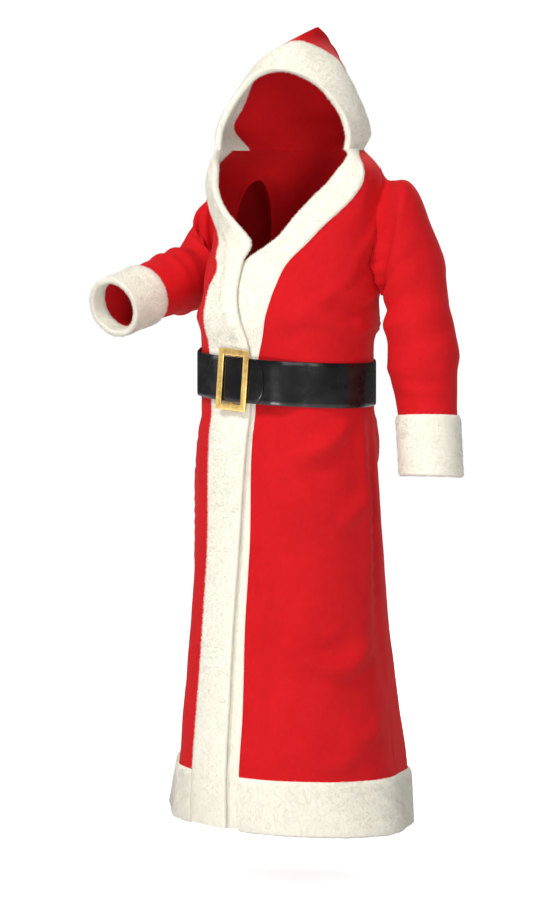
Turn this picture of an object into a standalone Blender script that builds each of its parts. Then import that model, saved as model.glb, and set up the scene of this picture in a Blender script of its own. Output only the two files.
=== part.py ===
# A floor-length hooded robe of red velour with white plush trim, closed by a wide belt.
# It has the shape it takes on its wearer: right front over left front, hood up and turned
# to the wearer's left, right forearm held forward, left arm hanging.
# Metres. The origin is at the base of the neck between the shoulders, +Z is up, the front
# faces -Y and the wearer's left is +X.

import math

import bmesh
import bpy
import numpy as np

# Cloth and trim
CLOTH = 0.002
PLUSH = 0.008
PLUSH_UNDER_BELT = 0.004
SEAM = 0.0004
TRIM_GAP = 0.0006
FACING_THIN = 0.001
FACING_THICK = 0.0045
EDGE_PLAY = 0.0004
LAP_PLAY = 0.0068

# Heights
NECKLINE = 0.02
SHOULDER = -0.045
UNDERARM = -0.285
HEM = -1.435
HEM_BAND = 0.112
HEM_DROP_TO_LEFT = 0.085

# Usual distance from the middle of the body to the cloth
BODY_RADIUS = 0.2

# Side seams and armholes, in degrees round the body from the front centre
SIDE_SEAM = 112.0
ARMHOLE_HALF_ANGLE = 16.0

# Front overlap
LAP_FULL_ANGLE = 24.0
LAP_END_ANGLE = 44.0
LAP_TOP = -0.175
LAP_START = -0.222

# Belt and buckle
BELT_HEIGHT = -0.474
BELT_WIDTH = 0.096
BELT_THICKNESS = 0.003
BELT_SLOPE = -0.08
BELT_TIP_ANGLE = 17.4
BELT_END_ANGLE = -352.0
BELT_CLEARANCE_FRONT = 0.0186
BELT_CLEARANCE_SIDE = 0.0028
BUCKLE_WIDTH = 0.080
BUCKLE_HEIGHT = 0.132
BUCKLE_BAR = 0.014
BUCKLE_THICKNESS = 0.0048
BUCKLE_CENTRE_BAR = 0.006
BUCKLE_ANGLE = 5.6
BUCKLE_SAG = 0.0006
BAR_PLAY = 0.0009
STEM_PLAY = 0.0018
BUCKLE_BEVEL = 0.0008

# Hood
HEAD_TURN = 42.0
SHOULDER_SEAM_AT_NECK = 0.72

# Rings of the robe round the body
BODY_COLUMNS = ("height", "centre_y", "half_width", "half_depth")
BODY_RINGS = (
    (-1.475, -0.077, 0.266, 0.242),
    (-1.320, -0.068, 0.232, 0.252),
    (-1.188, -0.072, 0.222, 0.236),
    (-1.023, -0.073, 0.204, 0.222),
    (-0.836, -0.074, 0.202, 0.203),
    (-0.640, -0.079, 0.198, 0.188),
    (-0.560, -0.080, 0.196, 0.178),
    (-0.474, -0.080, 0.196, 0.177),
    (-0.390, -0.080, 0.196, 0.178),
    (-0.345, -0.077, 0.202, 0.184),
    (-0.290, -0.067, 0.206, 0.178),
    (-0.224, -0.055, 0.207, 0.158),
    (-0.140, -0.040, 0.206, 0.143),
    (-0.080, -0.030, 0.202, 0.130),
    (-0.045, -0.022, 0.197, 0.119),
    (-0.018, -0.014, 0.181, 0.106),
    (0.020, -0.005, 0.125, 0.088),
)

# Free edge of each front, in plan, from the neckline down to the crossing and on to the hem
EDGE_COLUMNS = ("height", "x", "pull")
RIGHT_EDGE = (
    (-1.475, 0.042, 0.0),
    (-0.836, 0.040, 0.0),
    (-0.540, 0.050, 0.0),
    (-0.442, 0.050, 0.0),
    (-0.394, 0.043, 0.0),
    (-0.340, 0.027, 0.0),
    (-0.300, 0.013, 0.0),
    (-0.250, 0.002, 0.0),
    (-0.224, 0.000, 0.002),
    (-0.180, 0.006, 0.012),
    (-0.150, -0.025, 0.026),
    (-0.120, -0.053, 0.047),
    (-0.080, -0.072, 0.070),
    (-0.040, -0.080, 0.091),
    (0.020, -0.0814, 0.138),
)
LEFT_EDGE = (
    (-1.475, -0.042, 0.0),
    (-0.836, -0.042, 0.0),
    (-0.400, -0.045, 0.0),
    (-0.280, -0.042, 0.0),
    (-0.250, -0.028, 0.0),
    (-0.224, 0.000, 0.0),
    (-0.200, 0.035, 0.0),
    (-0.180, 0.064, 0.003),
    (-0.125, 0.094, 0.0),
    (-0.088, 0.100, -0.010),
    (-0.055, 0.104, -0.018),
    (-0.010, 0.114, -0.004),
    (0.020, 0.132, 0.0),
)

# Line where the plush ends on each front, as an angle from the front centre
TRIM_COLUMNS = ("height", "angle")
RIGHT_TRIM = (
    (-1.475, 12.0),
    (-1.300, 12.0),
    (-1.000, 11.5),
    (-0.836, 12.0),
    (-0.540, 16.0),
    (-0.440, 18.0),
    (-0.340, 21.0),
    (-0.279, 21.0),
    (-0.242, 18.5),
    (-0.200, 27.0),
    (-0.160, 34.0),
    (-0.120, 42.0),
    (-0.060, 50.0),
    (0.020, 58.0),
)
LEFT_TRIM = (
    (-1.475, 14.5),
    (-1.300, 16.5),
    (-0.836, 17.0),
    (-0.540, 17.5),
    (-0.440, 19.0),
    (-0.374, 23.0),
    (-0.330, 24.5),
    (-0.279, 26.0),
    (-0.224, 29.5),
    (-0.174, 42.0),
    (-0.140, 50.0),
    (-0.077, 68.0),
    (-0.040, 76.0),
    (0.020, 84.0),
)

# Hood sections, from the neckline up each side to the seam over the crown. Each has its
# front edge, its widest point and its place on the back seam, in the frame of the turned head:
# across to the wearer's left, back from the face, and up.
HOOD_COLUMNS = ("turn", "edge", "side", "seam")
HOOD_LEFT = (
    (25.0, (0.077, -0.112, 0.048), (0.121, -0.022, 0.055), (0.073, 0.094, 0.070)),
    (38.0, (0.068, -0.112, 0.085), (0.112, -0.028, 0.098), (0.080, 0.118, 0.120)),
    (42.0, (0.048, -0.110, 0.120), (0.093, -0.034, 0.142), (0.075, 0.115, 0.170)),
    (42.0, (0.020, -0.106, 0.153), (0.072, -0.038, 0.184), (0.062, 0.092, 0.220)),
    (42.0, (-0.015, -0.100, 0.177), (0.042, -0.040, 0.222), (0.040, 0.055, 0.262)),
)
HOOD_CROWN = (42.0, (-0.055, -0.096, 0.191), (-0.028, -0.052, 0.254), (0.013, 0.000, 0.289))
HOOD_RIGHT = (
    (25.0, (-0.200, -0.106, 0.062), (-0.190, -0.004, 0.062), (0.073, 0.094, 0.070)),
    (38.0, (-0.179, -0.108, 0.110), (-0.174, -0.012, 0.110), (0.080, 0.118, 0.120)),
    (42.0, (-0.153, -0.107, 0.148), (-0.148, -0.022, 0.160), (0.075, 0.115, 0.170)),
    (42.0, (-0.128, -0.104, 0.176), (-0.117, -0.034, 0.206), (0.062, 0.092, 0.220)),
    (42.0, (-0.095, -0.100, 0.190), (-0.082, -0.044, 0.234), (0.040, 0.055, 0.262)),
)
# The neckline in the body's own frame: front end, widest point and nape
NECK_LEFT = (0.0, (0.132, -0.036, NECKLINE), (0.128, 0.000, NECKLINE), (0.0, 0.083, NECKLINE))
NECK_RIGHT = (0.0, (-0.0814, -0.216, NECKLINE), (-0.128, -0.090, NECKLINE), (0.0, 0.083, NECKLINE))
HOOD_TRIM = 0.50
NECK_TRIM_LEFT = 0.60
NECK_TRIM_RIGHT = 0.42

# Sleeve sections from the shoulder to the end: the point on the underside, the point on the
# outer side, and half the width across them
SLEEVE_COLUMNS = ("under", "outer", "half_width")
LEFT_SLEEVE = (
    ((0.213, 0.024, -0.296), (0.240, 0.024, -0.030), 0.064),
    ((0.214, 0.026, -0.303), (0.276, 0.026, -0.070), 0.068),
    ((0.213, 0.028, -0.312), (0.302, 0.028, -0.137), 0.070),
    ((0.212, 0.030, -0.327), (0.322, 0.030, -0.208), 0.071),
    ((0.212, 0.030, -0.352), (0.340, 0.030, -0.285), 0.072),
    ((0.214, 0.030, -0.390), (0.357, 0.030, -0.350), 0.074),
    ((0.218, 0.030, -0.440), (0.367, 0.030, -0.415), 0.074),
    ((0.226, 0.030, -0.482), (0.369, 0.028, -0.468), 0.069),
    ((0.238, 0.028, -0.520), (0.372, 0.026, -0.510), 0.065),
    ((0.248, 0.025, -0.558), (0.376, 0.023, -0.551), 0.062),
    ((0.258, 0.020, -0.620), (0.384, 0.019, -0.616), 0.061),
    ((0.266, 0.016, -0.681), (0.391, 0.016, -0.679), 0.061),
)
RIGHT_SLEEVE = (
    ((-0.213, 0.022, -0.296), (-0.246, 0.018, -0.034), 0.065),
    ((-0.221, 0.015, -0.303), (-0.286, 0.004, -0.076), 0.070),
    ((-0.228, 0.002, -0.308), (-0.322, -0.014, -0.126), 0.073),
    ((-0.231, -0.022, -0.308), (-0.344, -0.038, -0.180), 0.074),
    ((-0.232, -0.062, -0.300), (-0.354, -0.072, -0.220), 0.073),
    ((-0.231, -0.108, -0.296), (-0.356, -0.114, -0.242), 0.070),
    ((-0.231, -0.146, -0.296), (-0.358, -0.150, -0.257), 0.067),
    ((-0.233, -0.176, -0.298), (-0.360, -0.183, -0.272), 0.064),
    ((-0.238, -0.212, -0.303), (-0.360, -0.223, -0.289), 0.062),
    ((-0.244, -0.270, -0.317), (-0.362, -0.282, -0.311), 0.060),
    ((-0.246, -0.304, -0.326), (-0.364, -0.316, -0.322), 0.060),
)
LEFT_CUFF_START = 11
RIGHT_CUFF_START = 10
ARMHOLE_SLEEVE_LIFT = 0.009
ROUND_SHOULDER_RINGS = 3

# Soft folds: three points of the line (degrees from the front centre, wearer's left positive,
# and height), how far it stands out and its half-width
FOLD_COLUMNS = ("start", "middle", "end", "height", "half_width")
FOLDS = (
    ((20.0, -0.560), (42.0, -0.735), (96.0, -0.750), 0.007, 0.034),
    ((84.0, -0.555), (66.0, -0.620), (42.0, -0.640), 0.006, 0.028),
    ((44.0, -1.050), (66.0, -1.125), (90.0, -1.040), 0.007, 0.032),
    ((60.0, -1.240), (74.0, -1.265), (92.0, -1.225), 0.005, 0.030),
    ((92.0, -0.350), (112.0, -0.385), (140.0, -0.370), 0.007, 0.026),
    ((-60.0, -0.600), (-90.0, -0.720), (-130.0, -0.700), 0.006, 0.034),
    ((-70.0, -1.040), (-98.0, -1.110), (-126.0, -1.050), 0.006, 0.034),
    ((-88.0, -0.350), (-110.0, -0.385), (-140.0, -0.365), 0.006, 0.026),
    ((-160.0, -0.590), (180.0, -0.720), (160.0, -0.600), 0.006, 0.034),
)
# Long flutes of the skirt: degrees, where one starts, how far it stands out at the hem, half-angle
FLUTE_COLUMNS = ("angle", "top", "height", "half_angle")
FLUTES = (
    (-66.0, -0.930, 0.014, 11.0),
    (52.0, -0.900, -0.006, 13.0),
    (98.0, -0.850, 0.010, 15.0),
    (138.0, -0.700, 0.016, 13.0),
    (176.0, -0.650, 0.018, 14.0),
    (-142.0, -0.700, 0.016, 13.0),
    (-108.0, -0.800, -0.008, 12.0),
)

# Grid of the pieces
SKIRT_ROWS = 15
ARMHOLE_ROWS = 8
SHOULDER_ROWS = 4
HEM_ROWS = 3
TRIM_COLUMNS_COUNT = 3
FRONT_COLUMNS = 7
BACK_COLUMNS = 14
SLEEVE_SIDES = 16
HOOD_ROWS = 10
HOOD_BACK_COLUMNS = 6
HOOD_TRIM_COLUMNS = 4
BELT_SIDES = 44


def smooth(at, known, values):
    # Cubic through the known values, with the slopes of their neighbours.
    known = np.asarray(known, float)
    values = np.asarray(values, float)
    at = np.clip(np.asarray(at, float), known[0], known[-1])
    slopes = np.gradient(values, known, axis=0)
    index = np.clip(np.searchsorted(known, at, side="right") - 1, 0, len(known) - 2)
    width = known[index + 1] - known[index]
    part = (at - known[index]) / width
    shape = part.shape + (1,) * (values.ndim - 1)
    part = part.reshape(shape)
    width = width.reshape(shape)
    return (
        (1 + 2 * part) * (1 - part) ** 2 * values[index]
        + part * (1 - part) ** 2 * width * slopes[index]
        + part**2 * (3 - 2 * part) * values[index + 1]
        + part**2 * (part - 1) * width * slopes[index + 1]
    )


def column(table, columns, name, at):
    place = columns.index(name)
    return smooth(at, [row[0] for row in table], [row[place] for row in table])


def step(at, start, end):
    # 0 at start, 1 at end, soft at both.
    part = np.clip((np.asarray(at, float) - start) / (end - start), 0.0, 1.0)
    return part * part * (3 - 2 * part)


def unit(vectors):
    return vectors / np.maximum(np.linalg.norm(vectors, axis=-1, keepdims=True), 1e-12)


def turned(point, degrees):
    # A point of the turned head's frame, in the body's frame.
    angle = math.radians(degrees)
    across, back, up = point
    return np.array(
        (
            across * math.cos(angle) - back * math.sin(angle),
            across * math.sin(angle) + back * math.cos(angle),
            up,
        )
    )


def section_curve(turn, edge, side, seam, along):
    # One hood section: front edge at 0, widest point at 0.5, back seam at 1.
    angle = math.radians(turn)
    backward = np.array((-math.sin(angle), math.cos(angle), 0.0))
    reach = float(np.dot(seam - side, backward))
    corner = side + backward * reach
    corner[2] = side[2] * 0.5 + seam[2] * 0.5
    along = np.asarray(along, float)[..., None]
    front = np.clip(along * 2, 0, 1)
    rear = np.clip(along * 2 - 1, 0, 1)
    near_side = side - backward * 0.4 * np.linalg.norm(side - edge)
    near_side[2] = side[2] * 0.6 + edge[2] * 0.4
    near_edge = edge * 0.62 + near_side * 0.38
    first = (
        (1 - front) ** 3 * edge
        + 3 * (1 - front) ** 2 * front * near_edge
        + 3 * (1 - front) * front**2 * near_side
        + front**3 * side
    )
    arc = 0.5523
    second = (
        (1 - rear) ** 3 * side
        + 3 * (1 - rear) ** 2 * rear * (side + arc * (corner - side))
        + 3 * (1 - rear) * rear**2 * (seam + arc * (corner - seam))
        + rear**3 * seam
    )
    return np.where(along < 0.5, first, second)


def hood_sections():
    # Sections from the left neckline over the crown to the right neckline.
    sections = []
    for row in (NECK_LEFT,) + HOOD_LEFT + (HOOD_CROWN,) + tuple(reversed(HOOD_RIGHT)) + (NECK_RIGHT,):
        section = dict(zip(HOOD_COLUMNS, row))
        head_turn = 0.0 if row in (NECK_LEFT, NECK_RIGHT) else HEAD_TURN
        points = [turned(section[key], head_turn) for key in ("edge", "side", "seam")]
        sections.append((section["turn"], *points))
    return sections


SECTIONS = hood_sections()
CROWN = 6.0
CROWN_GAP = 0.012
PEAK_GAP = 0.16
HOOD_START = 0.008


def neck_curve(side, along):
    section = SECTIONS[0] if side > 0 else SECTIONS[-1]
    return section_curve(*section, along)


def hood_point(section, along):
    # The hood at a section number from 0 (left neckline) to 12 (right neckline).
    section = np.asarray(section, float)
    along = np.asarray(along, float)
    section, along = np.broadcast_arrays(section, along)
    curves = np.stack([section_curve(*row, along) for row in SECTIONS])
    lower = np.clip(np.floor(section).astype(int), 0, len(SECTIONS) - 2)
    part = (section - lower)[..., None]

    def curve(index):
        index = np.clip(index, 0, len(SECTIONS) - 1)
        return np.take_along_axis(curves, index[None, ..., None], axis=0)[0]

    before, start, end, after = curve(lower - 1), curve(lower), curve(lower + 1), curve(lower + 2)
    return 0.5 * (
        2 * start
        + (end - before) * part
        + (2 * before - 5 * start + 4 * end - after) * part**2
        + (3 * start - before - 3 * end + after) * part**3
    )


def fold_height(angle, height):
    # How far the cloth stands out at a signed angle in degrees and a height.
    total = np.zeros(np.broadcast(angle, height).shape)
    for row in FOLDS:
        fold = dict(zip(FOLD_COLUMNS, row))
        start, middle, end = fold["start"], fold["middle"], fold["end"]
        nearest = np.full(total.shape, 9.0)
        for part in np.linspace(0.0, 1.0, 13):
            line_angle = (
                (1 - part) ** 2 * start[0]
                + 2 * (1 - part) * part * (2 * middle[0] - 0.5 * start[0] - 0.5 * end[0])
                + part**2 * end[0]
            )
            if fold["start"][0] < -90 and fold["end"][0] > 90:
                # This fold crosses the centre back.
                line_angle = start[0] - (360 + start[0] - end[0]) * part
            line_height = (
                (1 - part) ** 2 * start[1]
                + 2 * (1 - part) * part * (2 * middle[1] - 0.5 * start[1] - 0.5 * end[1])
                + part**2 * end[1]
            )
            away = (np.asarray(angle) - line_angle + 180.0) % 360.0 - 180.0
            away = np.radians(away) * BODY_RADIUS
            nearest = np.minimum(nearest, np.hypot(away, height - line_height) + 0.02 * abs(part - 0.5))
        total = total + fold["height"] * np.exp(-((nearest / fold["half_width"]) ** 2))
    for row in FLUTES:
        flute = dict(zip(FLUTE_COLUMNS, row))
        away = (np.asarray(angle) - flute["angle"] + 180.0) % 360.0 - 180.0
        growing = flute["height"] * step(height, flute["top"], HEM)
        total = total + growing * np.exp(-((away / flute["half_angle"]) ** 2))
    under_belt = step(np.abs(np.asarray(height, float) - BELT_HEIGHT), 0.075, 0.12)
    return total * under_belt


def edge_table(side):
    return LEFT_EDGE if side > 0 else RIGHT_EDGE


def ring_values(height):
    centre = column(BODY_RINGS, BODY_COLUMNS, "centre_y", height)
    half_width = column(BODY_RINGS, BODY_COLUMNS, "half_width", height)
    half_depth = column(BODY_RINGS, BODY_COLUMNS, "half_depth", height)
    return centre, half_width, half_depth


def edge_angle(side, height):
    # Angle of the free edge on the body's ring, in degrees towards this side.
    x = column(edge_table(side), EDGE_COLUMNS, "x", height) * side
    half_width = ring_values(height)[1]
    return np.degrees(np.arcsin(np.clip(x / half_width, -0.99, 0.985)))


def ring_point(side, angle, height):
    centre, half_width, half_depth = ring_values(height)
    radians = np.radians(angle)
    x = side * half_width * np.sin(radians)
    y = centre - half_depth * np.cos(radians)
    return np.stack(np.broadcast_arrays(x, y, height), axis=-1)


def neck_along(side, angle):
    trim = NECK_TRIM_LEFT if side > 0 else NECK_TRIM_RIGHT
    trim_angle = (LEFT_TRIM if side > 0 else RIGHT_TRIM)[-1][1]
    first = float(edge_angle(side, NECKLINE))
    known = (first, trim_angle, SIDE_SEAM, 180.0)
    values = (0.0, trim, SHOULDER_SEAM_AT_NECK, 1.0)
    return np.interp(angle, known, values)


def plush_depth(height):
    # The plush is pressed flat under the belt.
    away = np.abs(np.asarray(height, float) - BELT_HEIGHT)
    return PLUSH_UNDER_BELT + (PLUSH - PLUSH_UNDER_BELT) * step(away, 0.072, 0.115)


def body_point(side, angle, height):
    # Middle of the cloth. side is 1 for the wearer's left and -1 for the right, and the angle
    # runs from the front centre round that side to 180 at the centre back.
    angle, height = np.broadcast_arrays(np.asarray(angle, float), np.asarray(height, float))
    point = ring_point(side, angle, height)
    neck = neck_curve(side, neck_along(side, angle)) - ring_point(side, angle, np.full(angle.shape, NECKLINE))
    share = np.clip((height + 0.16) / (NECKLINE + 0.16), 0, 1)[..., None] ** 1.6
    neck[..., 2] = 0.0
    first = edge_angle(side, height)
    fall = np.clip((SIDE_SEAM - angle) / (SIDE_SEAM - first), 0, 1.3)[..., None] ** 2.2
    point = point + share * neck
    edge_base = ring_point(side, first, height)
    edge_neck = neck_curve(side, np.zeros(angle.shape)) - ring_point(
        side, edge_angle(side, np.full(angle.shape, NECKLINE)), np.full(angle.shape, NECKLINE)
    )
    edge_neck[..., 2] = 0.0
    pull = column(edge_table(side), EDGE_COLUMNS, "pull", height)
    at_neck = step(height, -0.07, NECKLINE)
    wanted = edge_base.copy()
    wanted[..., 1] = wanted[..., 1] - pull
    shift = (wanted - edge_base - share * edge_neck) * (1 - at_neck[..., None])
    shift[..., 2] = 0.0
    point = point + fall * shift
    out = np.stack(
        (side * np.sin(np.radians(angle)), -np.cos(np.radians(angle)), np.zeros(angle.shape)), axis=-1
    )
    chest = step(height, -0.17, -0.30)[..., None]
    point = point + out * (fold_height(side * angle, height)[..., None] * chest)
    if side < 0:
        lap = step(-angle, -LAP_END_ANGLE, -LAP_FULL_ANGLE) * step(height, LAP_TOP, LAP_START)
        depth = plush_depth(height) + LAP_PLAY
        point = point + out * (lap * depth)[..., None]
    drop = HEM_DROP_TO_LEFT * step(height, -0.50, HEM)
    point[..., 2] = point[..., 2] - drop * point[..., 0]
    return point


def body_normal(side, angle, height):
    small = 0.4
    rise = 0.003
    round_body = body_point(side, angle + small, height) - body_point(side, angle - small, height)
    upward = body_point(side, angle, np.minimum(height + rise, NECKLINE)) - body_point(
        side, angle, height - rise
    )
    return unit(np.cross(round_body, upward)) * side


def layers(points, normals, thickness, offset=0.0):
    return points + normals * (offset + thickness / 2), points + normals * (offset - thickness / 2)


def material(name, colour, roughness, metallic):
    made = bpy.data.materials.new(name)
    made.use_nodes = True
    shader = made.node_tree.nodes["Principled BSDF"]
    shader.inputs["Base Color"].default_value = (*colour, 1.0)
    shader.inputs["Roughness"].default_value = roughness
    shader.inputs["Metallic"].default_value = metallic
    made.diffuse_color = (*colour, 1.0)
    return made


def shell(name, outer, inner, look, closed=False, row_order=None, column_order=None):
    # A closed wall between two layers of points, rows by columns. A closed one is a tube whose
    # last column repeats the first. The orders number its rows and columns on the cloth it
    # belongs to, so that pieces on one another have their faces split the same way.
    rows, columns = outer.shape[:2]
    row_order = range(rows) if row_order is None else row_order
    column_order = range(columns) if column_order is None else column_order
    build = bmesh.new()
    bmesh.ops.create_grid(build, x_segments=columns - 1, y_segments=rows - 1, size=1.0)
    raised = bmesh.ops.extrude_face_region(build, geom=build.faces[:])
    for item in raised["geom"]:
        if isinstance(item, bmesh.types.BMVert):
            item.co.z = 1.0

    def place(vertex):
        across = round((vertex.co.x + 1) / 2 * (columns - 1))
        along = round((vertex.co.y + 1) / 2 * (rows - 1))
        return along, across, vertex.co.z > 0.5

    for face in build.faces[:]:
        corners = {place(vertex): vertex for vertex in face.verts}
        along = sorted({corner[0] for corner in corners})
        across = sorted({corner[1] for corner in corners})
        along.sort(key=lambda number: row_order[number])
        across.sort(key=lambda number: column_order[number])
        sides = {corner[2] for corner in corners}
        low = corners[(along[0], across[0], max(sides))]
        high = corners[(along[-1], across[-1], min(sides))]
        bmesh.utils.face_split(face, low, high)
    if closed:
        walls = []
        for face in build.faces:
            ends = {place(vertex)[1] for vertex in face.verts}
            if ends == {0} or ends == {columns - 1}:
                walls.append(face)
        bmesh.ops.delete(build, geom=walls, context="FACES_ONLY")
    for vertex in build.verts:
        along, across, upper = place(vertex)
        vertex.co = (outer if upper else inner)[along, across]
    if closed:
        bmesh.ops.remove_doubles(build, verts=build.verts[:], dist=0.00002)
    bmesh.ops.recalc_face_normals(build, faces=build.faces[:])
    if build.calc_volume(signed=True) < 0:
        bmesh.ops.reverse_faces(build, faces=build.faces[:])
    mesh = bpy.data.meshes.new(name)
    build.to_mesh(mesh)
    build.free()
    mesh.shade_smooth()
    mesh.set_sharp_from_angle(angle=math.radians(50))
    made = bpy.data.objects.new(name, mesh)
    mesh.materials.append(look)
    COLLECTION.objects.link(made)
    return made


def off_edge(points, normals, level_top):
    # Directions that leave the free edge of the cloth square to it, level at the neckline.
    along = unit(np.gradient(points[:, 0], axis=0))
    leaving = points[:, 0] - points[:, 1]
    for direction in (along, normals[:, 0]):
        leaving = leaving - direction * np.sum(leaving * direction, axis=1, keepdims=True)
    if level_top:
        leaving[-1, 2] = 0.0
    return unit(leaving)


def wrap(name, points, normals, outward, profile, look, closed=False, row_order=None):
    # A strip folded over an edge. points and normals are rows by columns of the cloth, outward
    # leads off its edge, and the profile lists a column, an offset off the cloth and one past
    # the edge, once for the side against the cloth and once for the outer side.
    numbers = [place[0] for place in profile]
    sides = []
    for key in (0, 1):
        sides.append(
            np.stack(
                [
                    points[:, place[0]]
                    + normals[:, place[0]] * np.asarray(place[1 + key][0])[..., None]
                    + outward * np.asarray(place[1 + key][1])[..., None]
                    for place in profile
                ],
                axis=1,
            )
        )
    inner, outer = sides
    if closed:
        inner = inner.transpose(1, 0, 2)
        outer = outer.transpose(1, 0, 2)
        return shell(name, outer, inner, look, closed=True, row_order=numbers)
    return shell(name, outer, inner, look, row_order=row_order, column_order=numbers)


def panel_rows():
    hem_band = np.linspace(HEM, HEM + HEM_BAND, HEM_ROWS + 1)
    skirt = np.linspace(HEM + HEM_BAND, UNDERARM, SKIRT_ROWS + 1)[1:]
    turn = np.linspace(180.0, 0.0, ARMHOLE_ROWS + 1)[1:]
    middle = (SHOULDER + UNDERARM) / 2
    half = (SHOULDER - UNDERARM) / 2
    armhole = middle + half * np.cos(np.radians(turn))
    shoulder = np.linspace(SHOULDER, NECKLINE - SEAM / 2, SHOULDER_ROWS + 1)[1:]
    return np.concatenate((hem_band, skirt, armhole, shoulder))


def upright_top(normals):
    # Level normals along the neckline, where the hood meets the body.
    flat = normals[-1].copy()
    flat[:, 2] = 0.0
    normals[-1] = unit(flat)
    return normals


def seam_gap(heights):
    # Degrees left open on each side of a side seam, wider where the neckline draws it in.
    return math.degrees(SEAM / 2 / BODY_RADIUS) * (1 + 3 * step(heights, -0.04, 0.0))


def armhole_opening(height):
    middle = (SHOULDER + UNDERARM) / 2
    half = (SHOULDER - UNDERARM) / 2
    share = np.clip(1 - ((height - middle) / half) ** 2, 0, 1)
    return ARMHOLE_HALF_ANGLE * np.sqrt(share)


def front_angles(side, heights):
    first = edge_angle(side, heights)
    trim = column(LEFT_TRIM if side > 0 else RIGHT_TRIM, TRIM_COLUMNS, "angle", heights)
    last = SIDE_SEAM - seam_gap(heights) - armhole_opening(heights)
    band = np.linspace(0, 1, TRIM_COLUMNS_COUNT + 1)
    rest = np.linspace(0, 1, FRONT_COLUMNS + 1)[1:]
    return np.concatenate(
        (
            first[:, None] + (trim - first)[:, None] * band,
            trim[:, None] + (last - trim)[:, None] * rest,
        ),
        axis=1,
    )


def front_grid(side, heights):
    angles = front_angles(side, heights)
    levels = np.repeat(heights[:, None], angles.shape[1], axis=1)
    return body_point(side, angles, levels), upright_top(body_normal(side, angles, levels))


def back_grid(heights):
    first = SIDE_SEAM + seam_gap(heights) + armhole_opening(heights)
    share = np.linspace(0, 1, BACK_COLUMNS // 2 + 1)
    half = first[:, None] + (180.0 - first)[:, None] * share
    levels = np.repeat(heights[:, None], half.shape[1], axis=1)
    left = (body_point(1, half, levels), body_normal(1, half, levels))
    right = (body_point(-1, half, levels), body_normal(-1, half, levels))
    joined = []
    for a, b in zip(left, right):
        middle = (a[:, -1:] + b[:, -1:]) / 2
        joined.append(np.concatenate((a[:, :-1], middle, b[:, :-1][:, ::-1]), axis=1))
    return joined[0], upright_top(unit(joined[1]))


def grown_armhole(side, around, grow, lift):
    # A point on the body round the armhole, grown by so much and lifted off the cloth.
    middle = (SHOULDER + UNDERARM) / 2
    half = (SHOULDER - UNDERARM) / 2 + grow
    height = middle + half * np.cos(around)
    angle = SIDE_SEAM - (ARMHOLE_HALF_ANGLE + math.degrees(grow / BODY_RADIUS)) * np.sin(around)
    return body_point(side, angle, height) + body_normal(side, angle, height) * np.asarray(lift)[..., None]


def sleeve_rings(side, around):
    # Rings from the armhole to the end. around is 0 on the outer side, pi/2 to the front.
    table = LEFT_SLEEVE if side > 0 else RIGHT_SLEEVE
    base = CLOTH / 2 + TRIM_GAP
    zero = np.zeros(around.shape)
    rings = [
        grown_armhole(side, around, 0.0026, zero + base),
        grown_armhole(side, around, 0.0075, zero + ARMHOLE_SLEEVE_LIFT),
    ]
    front_and_back = grown_armhole(side, np.array((math.pi / 2, -math.pi / 2)), 0.0, np.zeros(2))
    armhole_front = unit(front_and_back[0] - front_and_back[1])
    stations = [dict(zip(SLEEVE_COLUMNS, row)) for row in table]
    centres = np.array([np.add(station["under"], station["outer"]) / 2 for station in stations])
    along = unit(np.gradient(centres, axis=0))
    for index, station in enumerate(stations):
        across = np.subtract(station["outer"], station["under"]) / 2
        front = unit(np.cross(along[index], across)) * side
        near_body = max(0.0, 1 - index / ROUND_SHOULDER_RINGS)
        front = unit(front * (1 - near_body) + armhole_front * near_body)
        rings.append(
            centres[index]
            + np.cos(around)[..., None] * across
            + np.sin(around)[..., None] * front * station["half_width"]
        )
    return np.stack(rings)


def sleeve_point(side, around, along):
    around, along = np.broadcast_arrays(np.asarray(around, float), np.asarray(along, float))
    rings = sleeve_rings(side, around)
    last = len(rings) - 1
    lower = np.clip(np.floor(along).astype(int), 0, last - 1)
    part = (along - lower)[..., None]

    def ring(index):
        index = np.clip(index, 0, last)
        return np.take_along_axis(rings, index[None, ..., None], axis=0)[0]

    before, start, end, after = ring(lower - 1), ring(lower), ring(lower + 1), ring(lower + 2)
    return 0.5 * (
        2 * start
        + (end - before) * part
        + (2 * before - 5 * start + 4 * end - after) * part**2
        + (3 * start - before - 3 * end + after) * part**3
    )


def sleeve_normal(side, around, along):
    last = (len(LEFT_SLEEVE) if side > 0 else len(RIGHT_SLEEVE)) + 1
    round_arm = sleeve_point(side, around + 0.03, along) - sleeve_point(side, around - 0.03, along)
    down = sleeve_point(side, around, np.minimum(along + 0.04, last)) - sleeve_point(
        side, around, np.maximum(along - 0.04, 0)
    )
    normal = unit(np.cross(down, round_arm)) * -side
    base = np.zeros(np.shape(around)) + CLOTH / 2 + SEAM
    flat = unit(grown_armhole(side, around, 0.0066, base) - grown_armhole(side, around, 0.0006, base))
    share = np.clip(1 - np.asarray(along, float), 0, 1)[..., None]
    return unit(normal * (1 - share) + flat * share)


def make_sleeve(name, side, look):
    table = LEFT_SLEEVE if side > 0 else RIGHT_SLEEVE
    around = np.linspace(0, 2 * math.pi, SLEEVE_SIDES + 1)
    along = np.concatenate(((0.0, 1.0), np.arange(2, len(table) + 2)))
    arounds, alongs = np.meshgrid(around, along)
    points = sleeve_point(side, arounds, alongs)
    normals = sleeve_normal(side, arounds, alongs)
    points[:, -1] = points[:, 0]
    normals[:, -1] = normals[:, 0]
    outer, inner = layers(points, normals, CLOTH)
    return shell(name, outer, inner, look, closed=True)


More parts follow.
